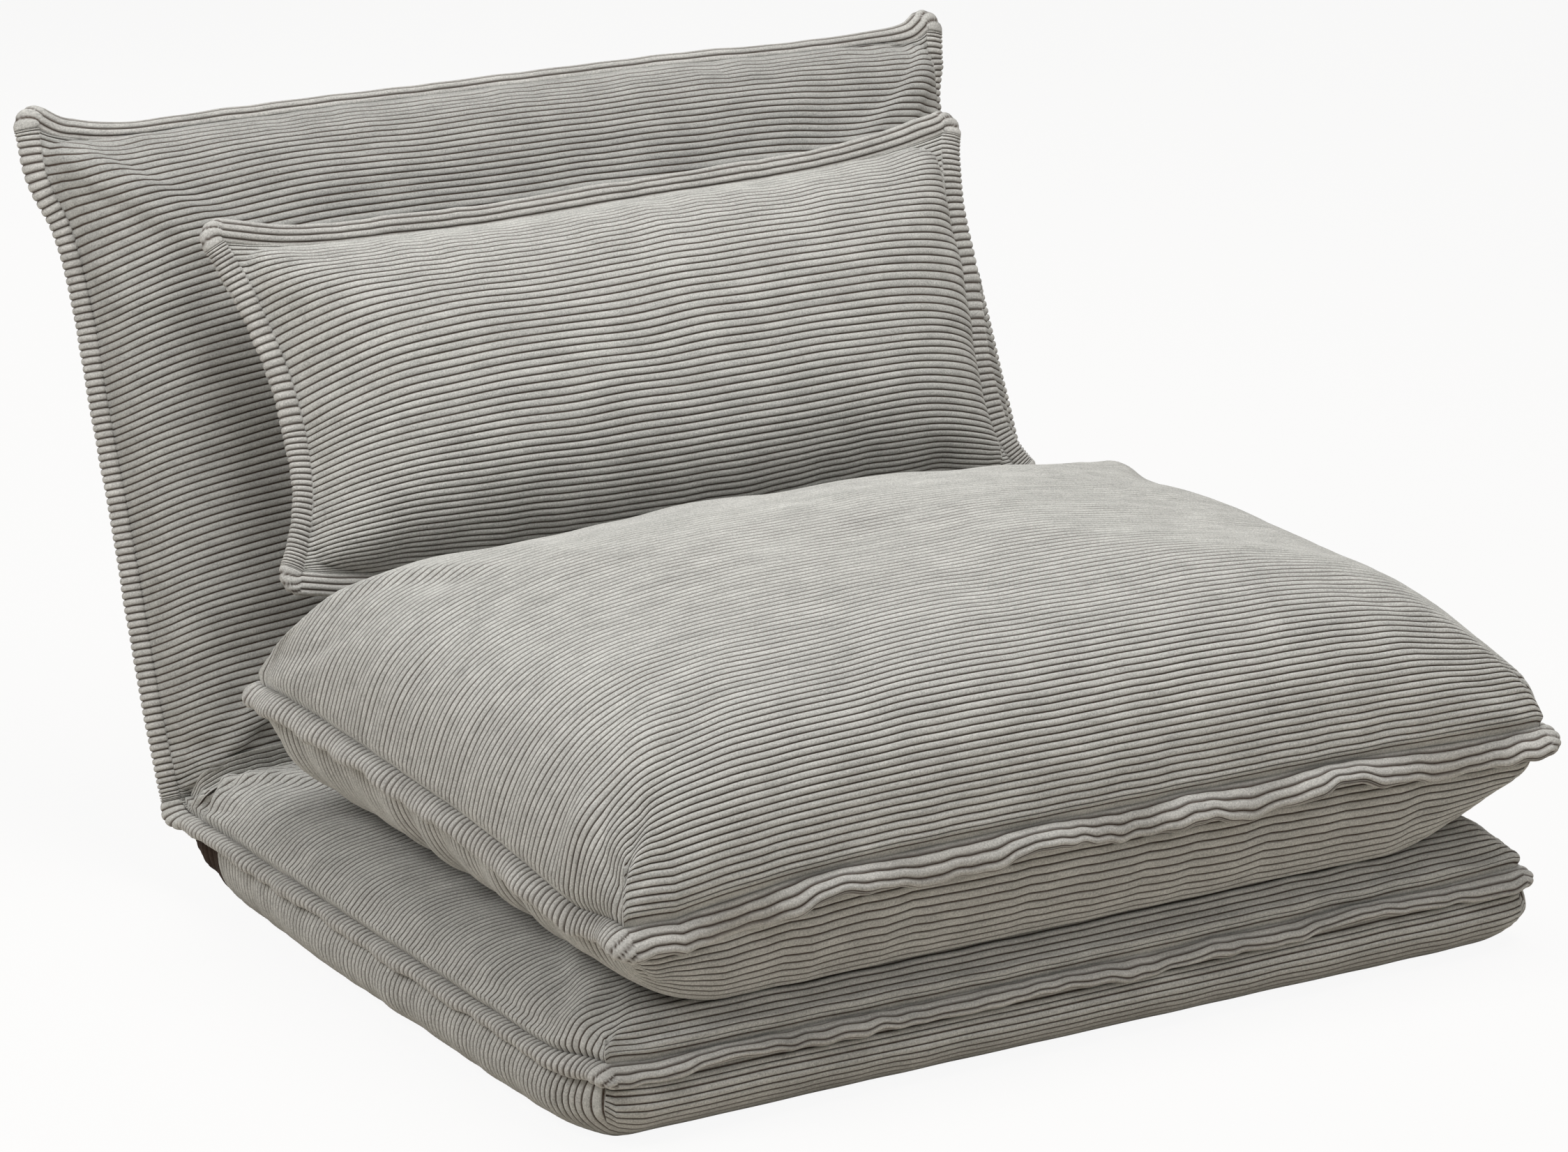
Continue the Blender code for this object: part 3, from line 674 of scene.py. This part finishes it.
def lining_cloth():
    """Dark brown spun lining with a fine dimpled surface."""
    lining = Finish("Underside lining")
    where = lining.place()
    dimples = lining.node("ShaderNodeTexVoronoi", {}, {"Vector": where, "Scale": 420.0})
    stain = lining.noise(where, 14.0, 4.0, 0.6)
    shade = dimples * 0.6 + stain * 0.5
    lining.set("Base Color", lining.mix(shade, (0.020, 0.012, 0.008, 1), (0.060, 0.040, 0.030, 1)))
    lining.set("Roughness", 0.85 + dimples * 0.1)
    lining.set("Specular IOR Level", 0.2)
    lining.bump(dimples, 0.0004, 0.7)
    return lining.material


lining = lining_cloth()
lining_names = ["centre", "high", "high_left", "high_right"]
base_lining = sewn("base_lining", [under[name] for name in lining_names], lining)
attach(base_lining, "base")
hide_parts("base_floor_lining")

# Welt of the base
# Padded flange, cut from the edges of both covers, filled with a strip of wadding and stitched along
# the seam. On the sides the wales cross the flange; at the front they run along it.

WELT_STATIONS = np.array([0.0, 0.09, 0.25, 0.5, 0.75, 0.91])
WELT_ROOT = 0.0025
# STITCH_DIP also sets the width of the painted shade at the root of each flange.
STITCH_DIP = 0.004


def welt_section(width, thickness):
    """Points round the flange: reach and height as shares, length of cloth, outward direction."""

    def shape(turn):
        return (1 - np.cos(turn)) / 2, np.sign(np.sin(turn)) * np.abs(np.sin(turn)) ** 0.8

    turn = np.linspace(0, 2 * math.pi, 801)
    reach, height = shape(turn)
    steps = np.hypot(np.diff(reach) * width, np.diff(height) * thickness / 2)
    length = np.concatenate([[0], np.cumsum(steps)])
    rows = WALE * wale_rows(0, length[-1] / 2 / WALE, WELT_STATIONS)
    turn = np.interp(np.concatenate([rows, length[-1] - rows[-2::-1]]), length, turn)
    reach, height = shape(turn)
    out = -np.cos(turn) * thickness
    up = np.sin(turn) * width
    size = np.hypot(out, up)
    return reach, height, np.concatenate([rows, rows[-2::-1]]), out / size, up / size


def seam_leg(pad, start, finish, width, hang):
    """Rows along one side of the seam: place, drop, outward direction, wales, width, hang, run.

    The hang is an angle in degrees, or a list of places along the side with the angle at each of them.
    The wales cross the flange where their run is 0, and follow it where it is 1 or -1.
    """
    w_table, count_table = pad.side_wales(1)
    beside = start[0] == finish[0]
    if beside:
        count = wale_rows(count_table[0], count_table[-1], WELT_STATIONS)
        count = count if start[1] < finish[1] else count[::-1]
        w = np.interp(count, count_table, w_table)
        u = np.full_like(w, start[0])
    else:
        u = np.linspace(start[0], finish[0], 300)
        w = np.full_like(u, start[1])
        count = np.full_like(u, round(np.interp(start[1], w_table, count_table)))
    x, y, drop = pad.plan(u, w)
    along = np.stack([np.gradient(x), np.gradient(y)], -1)
    along /= np.linalg.norm(along, axis=-1, keepdims=True)
    stops = hang if isinstance(hang, list) else [(0.0, hang)]
    angle = np.radians(np.interp(w if beside else u, *zip(*stops)))
    widths = np.full_like(x, width)
    run = np.full_like(x, 0 if beside else start[1])
    return np.column_stack([x, y, drop, along[:, 1], -along[:, 0], count, widths, angle, run])


def corner_fan(before, after):
    """Rows that turn the flange round a corner in steps."""
    start = math.atan2(before[4], before[3])
    turn = (math.atan2(after[4], after[3]) - start + math.pi) % (2 * math.pi) - math.pi
    share = np.linspace(0, 1, 14)[1:-1, None]
    fan = before + (after - before) * share
    fan[:, 3] = np.cos(start + turn * share[:, 0])
    fan[:, 4] = np.sin(start + turn * share[:, 0])
    return fan


def welt(name, pad, legs, closed, thickness, tip, slack):
    """The flange along the given sides of a seam.

    The tip is how much wider it is at a corner, and over what distance that fades.
    """
    rows = [seam_leg(pad, *leg) for leg in legs]
    strip = [rows[0]]
    corners = []
    for before, after in zip(rows, rows[1:] + ([rows[0]] if closed else [])):
        strip.append(corner_fan(before[-1], after[0]))
        corners.append(before[-1, :2])
        strip.append(after if after is not rows[0] else rows[0][:1])
    strip = np.concatenate(strip)
    away = np.min([np.hypot(*(strip[:, :2] - corner).T) for corner in corners], 0)
    width = strip[:, 6] + tip[0] * np.exp(-((away / tip[1]) ** 2))
    walked = np.cumsum(np.hypot(*np.diff(strip[:, :2], axis=0, prepend=strip[:1, :2]).T))
    fade = smooth(0.0, 0.03, walked) * smooth(0.0, 0.03, walked[-1] - walked)
    wave = (slack * fade * ripple(walked, 0.0, 0.06, pad.seed + 20))[:, None]
    drift = (slack * fade * ripple(walked, 0.0, 0.14, pad.seed + 21))[:, None]
    crinkle = (slack * fade * ripple(walked, 0.0, 0.034, pad.seed + 22))[:, None]
    reach, height, length, out, up = welt_section(strip[:, 6].mean(), thickness)
    lift_count = strip[:, 5:6] + strip[:, 8:9] * length / WALE
    push = WALE_HEIGHT * 1.1 * (wale_lift(lift_count) - WALE_SUNK) * smooth(0.0, STITCH_DIP, length)
    reach = width[:, None] * reach * (1 + 0.08 * wave + 0.03 * crinkle) - WELT_ROOT
    height = thickness / 2 * height * (1 + 0.15 * wave) + push * up
    reach = reach + push * out
    hang = strip[:, 7:8] * (1 + 0.3 * drift) + 0.12 * drift + 0.04 * crinkle
    flat = reach * np.cos(hang) + height * np.sin(hang)
    points = np.empty(reach.shape + (3,))
    points[..., 0] = strip[:, 0:1] + strip[:, 3:4] * flat
    points[..., 1] = strip[:, 1:2] + strip[:, 4:5] * flat
    points[..., 2] = strip[:, 2:3] + height * np.cos(hang) - reach * np.sin(hang)
    # Within STITCH_DIP of the seam the flange turns 0.7 of the way to the groove colour: painted shade
    # along the flange's root.
    groove = np.maximum(groove_depth(lift_count), smooth(STITCH_DIP, 0.0, length) * 0.7)
    piece = sewn(name, [(pad.stand(points), groove)], welt_cloth)
    turn_faces_out()
    return piece


welt_cloth = corduroy("Corduroy welt", (0.567, 0.556, 0.525, 1), GROUND_WITH_GROOVE_SHADE)
BASE_LEGS = [
    ((-1, 1), (-1, -1), 0.018, 10),
    ((-1, -1), (1, -1), 0.021, 18),
    ((1, -1), (1, 1), 0.012, 18),
]
base_welt = welt("base_edge", base, BASE_LEGS, False, 0.012, (0.003, 0.04), 1.1)
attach(base_welt, "base")
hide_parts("base_welt")

# Back
# Knife-edged cushion round the upper tube frame. Its sides draw in below the two top corners, which
# stand out as ears. It leans back from the fold that it shares with the base.

RAISED = 66.5
HINGE_ROOM = 0.0150


def back_settle(points):
    """Keeps the cloth clear of the hinge eyes, which turn on the fold line."""
    off = points[..., 1:] - FOLD[1:]
    distance = np.maximum(np.linalg.norm(off, axis=-1, keepdims=True), 1e-6)
    clear = FOLD[1:] + off * np.maximum(HINGE_ROOM / distance, 1)
    return np.concatenate([points[..., :1], clear], -1)


back = Pad(0.462, 0.0153, 0.600, RAISED, FOLD, 31, boxed=False)
back.high_ear = (0.016, 0.031)
back.point = 11
back.perk = 5
back.bow = (0.020, 0.020, 6)
back.crush = (-1, 0.0030, 0.10)
back.settle = back_settle
back.face(1, 0.046, 0.022, (0.085, 0.055, 0.090), fullness=2.6, hold=0.0, gathers=0.0010, lumps=0.0022)
back.face(-1, 0.046, 0.014, (0.085, 0.090, 0.090), hold=0.0, gathers=0.0015, lumps=0.0022)
back.pulls = np.array(
    [
        [-0.26, 0.600, 0.0, 0.013, 0.0, 0.24],
        [0.12, 0.600, 0.0, 0.009, 0.0, 0.20],
        [-0.485, 0.640, 0.010, 0.0, 0.0, 0.040],
        [-0.475, 0.590, -0.012, 0.0, 0.0, 0.035],
        [-0.462, 0.480, 0.005, 0.0, 0.0, 0.070],
        [-0.462, 0.060, -0.009, 0.0, 0.0, 0.180],
        [0.485, 0.625, -0.012, -0.019, 0.0, 0.060],
        [0.462, 0.470, -0.009, 0.0, 0.0, 0.090],
        [0.462, 0.250, -0.001, 0.0, 0.0, 0.130],
    ]
)
puff_up(back, (), 0.006, 0.004)


def plain_panel(pad, side, columns):
    """One grid over a knife-edged face, with the wales running from side to side."""
    w_table, count_table = pad.wales(side)
    count = wale_rows(count_table[0], count_table[-1])[:, None]
    w = np.interp(count, count_table, w_table)
    return outward(side, pad.skin(side, eased_columns(columns), w, count))


# Painted shade: the back's covers are the panel corduroy with its pile darkened to 0.81.
shaded_back_cloth = corduroy("Corduroy, shaded for the back", tuple(0.81 * c for c in PILE[:3]) + (1,), GROUND_WITH_GROOVE_SHADE)
back_front = sewn("back_front", [plain_panel(back, 1, 84)], shaded_back_cloth)
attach(back_front, "back")
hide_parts("back_front_cover", "back_front_foam")

back_rear = sewn("back_rear", [plain_panel(back, -1, 84)], shaded_back_cloth)
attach(back_rear, "back")
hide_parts("back_rear_cover", "back_rear_foam")

FLANGE_WIDTH = 0.018
FLANGE_THICKNESS = 0.012
RIGHT_HANG = [(-0.7, 25), (-0.2, 40), (0.2, 50), (0.55, 75), (0.78, 70), (0.90, 15)]
BACK_LEGS = [
    ((1, -1), (1, 1), FLANGE_WIDTH, RIGHT_HANG),
    ((1, 1), (-1, 1), 0.0175, 12),
    ((-1, 1), (-1, -1), FLANGE_WIDTH, 25),
]
back_welt = welt("back_edge", back, BACK_LEGS, False, FLANGE_THICKNESS, (0.005, 0.05), 0.25)
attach(back_welt, "back")
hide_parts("back_welt")

# Fold strip
# Strip of cover that wraps the hinge line between base and back, with the two bends in which the side
# flanges run on from one to the other. The cloth gathers there.

FOLD_RADIUS = 0.0150
FOLD_WALES = 14
CREASE_WALES = 9
CREASE_HALF = 0.0118
CREASE_REACH = 0.13
CREASE_DEPTH = 0.016
BEND_GAP = 0.0153
bend_radius = BEND_GAP / math.tan(math.radians(RAISED / 2))


def fold_tube():
    """The strip, gathered along the hinge line, with its wales along it."""
    count = wale_rows(0, FOLD_WALES, WELT_STATIONS)[:, None]
    angle = count / FOLD_WALES * 2 * math.pi
    x = base.half_width * np.linspace(-1, 1, 161)[[0, *range(161), 160]][None, :]
    gathers = 0.0016 * ripple(x, angle * 0.004, 0.030, 91)
    radius = FOLD_RADIUS + gathers + WALE_HEIGHT * (wale_lift(count) - WALE_SUNK)
    radius[:, [0, -1]] = 0
    y = FOLD[1] - radius * np.cos(angle)
    z = FOLD[2] + radius * np.sin(angle)
    return np.stack([x + 0 * angle, y, z], -1), groove_depth(count) + 0 * x


def fold_crease():
    """The gathered cloth in the crease, from the rear rounding of the base to the foot of the back."""
    half_angle = math.radians((180 - RAISED) / 2)
    u = np.sin(np.linspace(-1, 1, 181) * math.pi / 2)[:, None]
    w = np.linspace(0, CREASE_REACH, 400) / base.half_depth
    edges = []
    for pad, end in ((base, 1), (back, -1)):
        points = pad.surface(1, u, end * (1 - w * base.half_depth / pad.half_depth))
        off = -end * points[..., 1] * math.sin(half_angle) - points[..., 2] * math.cos(half_angle)
        inside = np.maximum(np.argmax(off[:, ::-1] < CREASE_HALF, 1), 1)
        last = len(w) - 1 - inside
        edges.append(pad.stand(points[np.arange(len(u)), last]))
    count = wale_rows(0, CREASE_WALES)[:, None]
    share = (count / CREASE_WALES)[..., None]
    points = edges[0] * (1 - share) + edges[1] * share
    depth = CREASE_DEPTH * smooth(0.0, 0.035, edges[0][:, 2] - FOLD[2])
    x = points[..., 0]
    dip = depth * (1 - np.abs(2 * share[..., 0] - 1) ** 1.4)
    dip = dip - 0.0020 * np.sin(share[..., 0] * math.pi) * ripple(x, share[..., 0] * 0.020, 0.022, 92)
    dip = dip - WALE_HEIGHT * (wale_lift(count) - WALE_SUNK)
    lean = math.radians(RAISED / 2)
    down = np.array([0.0, math.sin(lean), -math.cos(lean)])
    return points + dip[..., None] * down, groove_depth(count) + 0 * x


def fold_bend(side):
    """A side flange that bends from the base up to the back."""
    reach, height, length, out, up = welt_section(FLANGE_WIDTH, FLANGE_THICKNESS)
    arc = math.radians(RAISED) * bend_radius
    count = wale_rows(0, round(arc / WALE), WELT_STATIONS)[:, None]
    share = count / count[-1]
    angle = math.radians(RAISED) * share
    push = WALE_HEIGHT * 0.8 * (wale_lift(count) - WALE_SUNK) * smooth(0.0, STITCH_DIP, length)
    width = FLANGE_WIDTH + 0.005 * np.sin(share * math.pi)
    reach = width * reach - WELT_ROOT + push * out
    height = FLANGE_THICKNESS / 2 * height + push * up
    hang = np.radians(18 + 7 * share)
    root = base.plan(side, 1)[0] * (1 - share) + back.plan(side, -1)[0] * share
    x = root + side * (reach * np.cos(hang) + height * np.sin(hang))
    off = height * np.cos(hang) - reach * np.sin(hang)
    y = FOLD[1] - BEND_GAP + (bend_radius - off) * np.sin(angle)
    z = FOLD[2] + bend_radius - (bend_radius - off) * np.cos(angle)
    # Within STITCH_DIP of the seam the flange turns 0.7 of the way to the groove colour: painted shade
    # along the flange's root.
    groove = np.maximum(groove_depth(count) + 0 * length, smooth(STITCH_DIP, 0.0, length) * 0.7)
    return np.stack([x, y, z], -1), groove


fold_grids = [fold_tube(), fold_crease(), fold_bend(-1), fold_bend(1)]
fold_strip = sewn("fold_strip", fold_grids, panel_cloth)
turn_faces_out()
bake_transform(fold_strip)
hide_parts("fold_gusset")

# Seat
# Thick section of foam under a fibre crown, which lies on the base. Its covers are boxed at the corners
# with short darts, and its front left corner hangs a little.

SEAT_TILT = 2.0
SEAT_SAG = 0.016
seat = Pad(0.455, -0.296, 0.296, SEAT_TILT, (0.0, -0.082, 0.2168), 51, boxed=True)
seat.low_ear = (0.008, 0.008)
seat.high_ear = (0.008, 0.008)
seat.face(
    1,
    0.098,
    0.056,
    (0.085, 0.085, 0.055),
    fullness=2.3,
    gathers=0.0014,
    lumps=0.002,
    hold=0.5,
    belly=(0.008, 0.004),
)
slope = math.tan(math.radians(SEAT_TILT))
seat.face(
    -1,
    0.0997,
    0.0,
    (0.120, 0.034, 0.045),
    slope=slope,
    fullness=2.2,
    gathers=0.0022,
    lumps=0.0,
)
seat.pulls = np.array(
    [
        [-0.463, -0.304, 0.0, 0.0, -0.018, 0.15],
        [-0.463, -0.304, 0.038, 0.006, -0.012, 0.045],
        [0.40, 0.18, 0.0, 0.0, -0.034, 0.20],
        [0.463, 0.304, 0.0, 0.0, -0.045, 0.08],
        [0.42, -0.02, 0.0, 0.0, -0.024, 0.15],
        [0.44, -0.20, 0.004, 0.0, -0.008, 0.10],
    ]
)


def seat_settle(points):
    """Lets the front of the underside sag towards the rounding of the base below it."""
    x, y, z = points[..., 0], points[..., 1], points[..., 2]
    seam = seat.origin[2] + slope * (y - seat.origin[1])
    base_face = base.faces[1]
    run = (y - FOLD[1] - base.low) / base_face["rounds"][1]
    crown = base_face["shoulder"] * rounding(run, base_face["fullness"])
    base_top_z = FOLD[2] + SEAM_HALF + crown
    sag = SEAT_SAG * smooth(-0.24, -0.34, y) * smooth(0.02, 0.09, seam - z) * smooth(0.44, 0.32, np.abs(x))
    return np.stack([x, y, np.maximum(z - sag, np.minimum(z, base_top_z + 0.0015))], -1)


seat.settle = seat_settle
puff_up(seat, (-1,), 0.010, 0.005)

seat_top = sewn("seat_top", list(boxed_panel(seat, 1).values()), panel_cloth)
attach(seat_top, "seat")
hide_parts("seat_top_cover", "seat_topper")

seat_under = sewn("seat_under", list(boxed_panel(seat, -1).values()), panel_cloth)
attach(seat_under, "seat")
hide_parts("seat_under_cover", "seat_foam")

SEAT_LEGS = [
    ((-1, -1), (1, -1), 0.029, 50),
    ((1, -1), (1, 1), 0.014, 45),
    ((1, 1), (-1, 1), 0.017, 20),
    ((-1, 1), (-1, -1), 0.023, 40),
]
seat_welt = welt("seat_edge", seat, SEAT_LEGS, True, 0.014, (0.001, 0.04), 1.2)
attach(seat_welt, "seat")
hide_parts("seat_welt")

# Seat hinge tape
# Woven tape, sewn to the top of the base under the front of the seat, on which the seat turns over.


def webbing():
    tape = Finish("Woven hinge tape")
    where = tape.place()
    ribs = tape.node("ShaderNodeTexWave", {"bands_direction": "X"}, {"Vector": where, "Scale": 180.0})
    threads = tape.noise(where, 1500.0, 2.0, 0.6)
    shade = ribs * 0.5 + threads * 0.5
    tape.set("Base Color", tape.mix(shade, (0.03, 0.026, 0.022, 1), (0.12, 0.11, 0.10, 1)))
    tape.set("Roughness", 0.7 + threads * 0.25)
    tape.bump(ribs + threads * 0.4, 0.0004)
    return tape.material


tape_low, tape_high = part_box("seat_hinge_tape")
bpy.ops.object.select_all(action="DESELECT")
bpy.ops.mesh.primitive_cube_add(size=1.0, location=(tape_low + tape_high) / 2)
tape = bpy.context.object
tape.name = "hinge_tape"
tape.scale = tape_high - tape_low
bpy.ops.object.transform_apply(location=True, rotation=True, scale=True)
bpy.ops.object.mode_set(mode="EDIT")
bpy.ops.mesh.select_all(action="SELECT")
bpy.ops.mesh.bevel(offset=0.0005, segments=3)
bpy.ops.object.mode_set(mode="OBJECT")
tape.data.materials.append(webbing())
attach(tape, "base")
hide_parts("seat_hinge_tape")

# Lumbar pillow
# Loose fibre pillow that leans on the back, with drawn-in sides and ears at its corners.

pillow = Pad(0.352, -0.172, 0.131, 59.0, (0.0, 0.3744, 0.4295), 71, boxed=False)
pillow.low_ear = (0.027, -0.021)
pillow.high_ear = (0.025, 0.028)
pillow.spread = 3
pillow.point = 4
pillow.bow = (0.016, 0.008, 6)
pillow.face(1, 0.045, 0.042, (0.110, 0.110, 0.110), gathers=0.0008, lumps=0.0018, hold=0.3)
pillow.face(-1, 0.041, 0.029, (0.110, 0.110, 0.110), gathers=0.0012, lumps=0.001, hold=0.3)
pillow.pulls = np.array(
    [
        [-0.16, 0.131, 0.0, 0.010, 0.0, 0.13],
        [0.06, 0.131, 0.0, 0.017, 0.0, 0.13],
        [0.28, 0.135, 0.0, 0.012, 0.0, 0.11],
        [0.0, -0.172, 0.0, -0.010, -0.020, 0.26],
        [0.370, 0.08, 0.014, 0.0, 0.0, 0.10],
        [0.379, -0.15, -0.010, -0.022, -0.010, 0.10],
        [-0.365, 0.000, 0.007, 0.0, 0.0, 0.07],
        [-0.379, -0.150, -0.008, 0.0, 0.0, 0.06],
    ]
)
puff_up(pillow, (), 0.007, 0.004)

pillow_front = sewn("pillow_front", [plain_panel(pillow, 1, 72)], panel_cloth)
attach(pillow_front, "pillow")
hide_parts("pillow_front_cover", "pillow_insert")

pillow_rear = sewn("pillow_rear", [plain_panel(pillow, -1, 72)], panel_cloth)
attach(pillow_rear, "pillow")
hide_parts("pillow_rear_cover")

PILLOW_LEGS = [
    ((-1, -1), (1, -1), 0.021, 0),
    ((1, -1), (1, 1), 0.021, 0),
    ((1, 1), (-1, 1), 0.022, 0),
    ((-1, 1), (-1, -1), 0.021, 0),
]
pillow_welt = welt("pillow_edge", pillow, PILLOW_LEGS, True, 0.011, (0.0, 0.04), 0.6)
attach(pillow_welt, "pillow")
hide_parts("pillow_welt")

# Room
# Plain white floor with large soft lamps.


def room_white():
    """Pale floor that the camera and mirrors see as white, with the object's shadow on it."""
    white = Finish("White floor")
    speckle = white.noise(white.place(), 40.0)
    white.set("Base Color", white.mix(speckle, (0.63, 0.58, 0.51, 1), (0.65, 0.60, 0.53, 1)))
    white.set("Roughness", 0.9)
    glow = white.node("ShaderNodeEmission", {}, {"Color": (1, 1, 1, 1), "Strength": 1.0})
    seen = white.node("ShaderNodeLightPath", {}, {}, "Is Camera Ray")
    for ray in ("Is Glossy Ray", "Is Transmission Ray"):
        seen = seen + white.node("ShaderNodeLightPath", {}, {}, ray)
    floor_shader = Signal(white, white.shader.outputs[0])
    blend = white.node("ShaderNodeMixShader", {}, {0: seen * 0.92, 1: floor_shader, 2: glow})
    white.feed(white.tree.nodes["Material Output"].inputs["Surface"], blend)
    return white.material


bpy.ops.object.select_all(action="DESELECT")
bpy.ops.mesh.primitive_plane_add(size=60.0)
floor = bpy.context.object
floor.name = "floor"
floor.data.materials.append(room_white())

AMBIENT = (0.19, 0.184, 0.172, 1)
world = bpy.data.worlds.new("Studio")
world.use_nodes = True
bpy.context.scene.world = world
sky = world.node_tree.nodes["Background"]
rays = world.node_tree.nodes.new("ShaderNodeLightPath")
level = world.node_tree.nodes.new("ShaderNodeMix")
level.data_type = "RGBA"
level.inputs[6].default_value = AMBIENT
level.inputs[7].default_value = (1, 1, 1, 1)
world.node_tree.links.new(rays.outputs["Is Camera Ray"], level.inputs[0])
world.node_tree.links.new(level.outputs[2], sky.inputs["Color"])


def softbox(name, place, target, size, power):
    lamp = bpy.data.lights.new(name, "AREA")
    lamp.shape = "DISK"
    lamp.size = size
    lamp.energy = power
    obj = bpy.data.objects.new(name, lamp)
    bpy.context.scene.collection.objects.link(obj)
    obj.location = place
    obj.rotation_euler = (Vector(target) - Vector(place)).to_track_quat("-Z", "Y").to_euler()


softbox("overhead", (0.5, -0.4, 3.0), (0, 0, 0.25), 2.4, 64)
softbox("left", (-2.4, 0.1, 2.2), (0, 0, 0.25), 1.4, 42)
softbox("front", (0.6, -2.6, 2.4), (0, 0, 0.25), 1.4, 14)
softbox("rear", (0.5, 3.0, 1.7), (0, 0, 0.25), 1.4, 20)

# Camera
# Stands in front and to the left, a little above the back, with a long lens.

AZIMUTH = math.radians(-30.98)
ELEVATION = math.radians(17.493)
AIM = Vector((-0.021, 0.075, 0.298))
DISTANCE = 5.89
lens = bpy.data.cameras.new("camera")
lens.lens = 153.29
lens.sensor_width = 36.0
lens.sensor_fit = "HORIZONTAL"
camera = bpy.data.objects.new("camera", lens)
bpy.context.scene.collection.objects.link(camera)
level_reach = math.cos(ELEVATION)
ahead = Vector((math.sin(AZIMUTH) * level_reach, -math.cos(AZIMUTH) * level_reach, math.sin(ELEVATION)))
camera.location = AIM + ahead * DISTANCE
camera.rotation_euler = (-ahead).to_track_quat("-Z", "Y").to_euler()
bpy.context.scene.camera = camera
bpy.context.scene.view_settings.view_transform = "Standard"
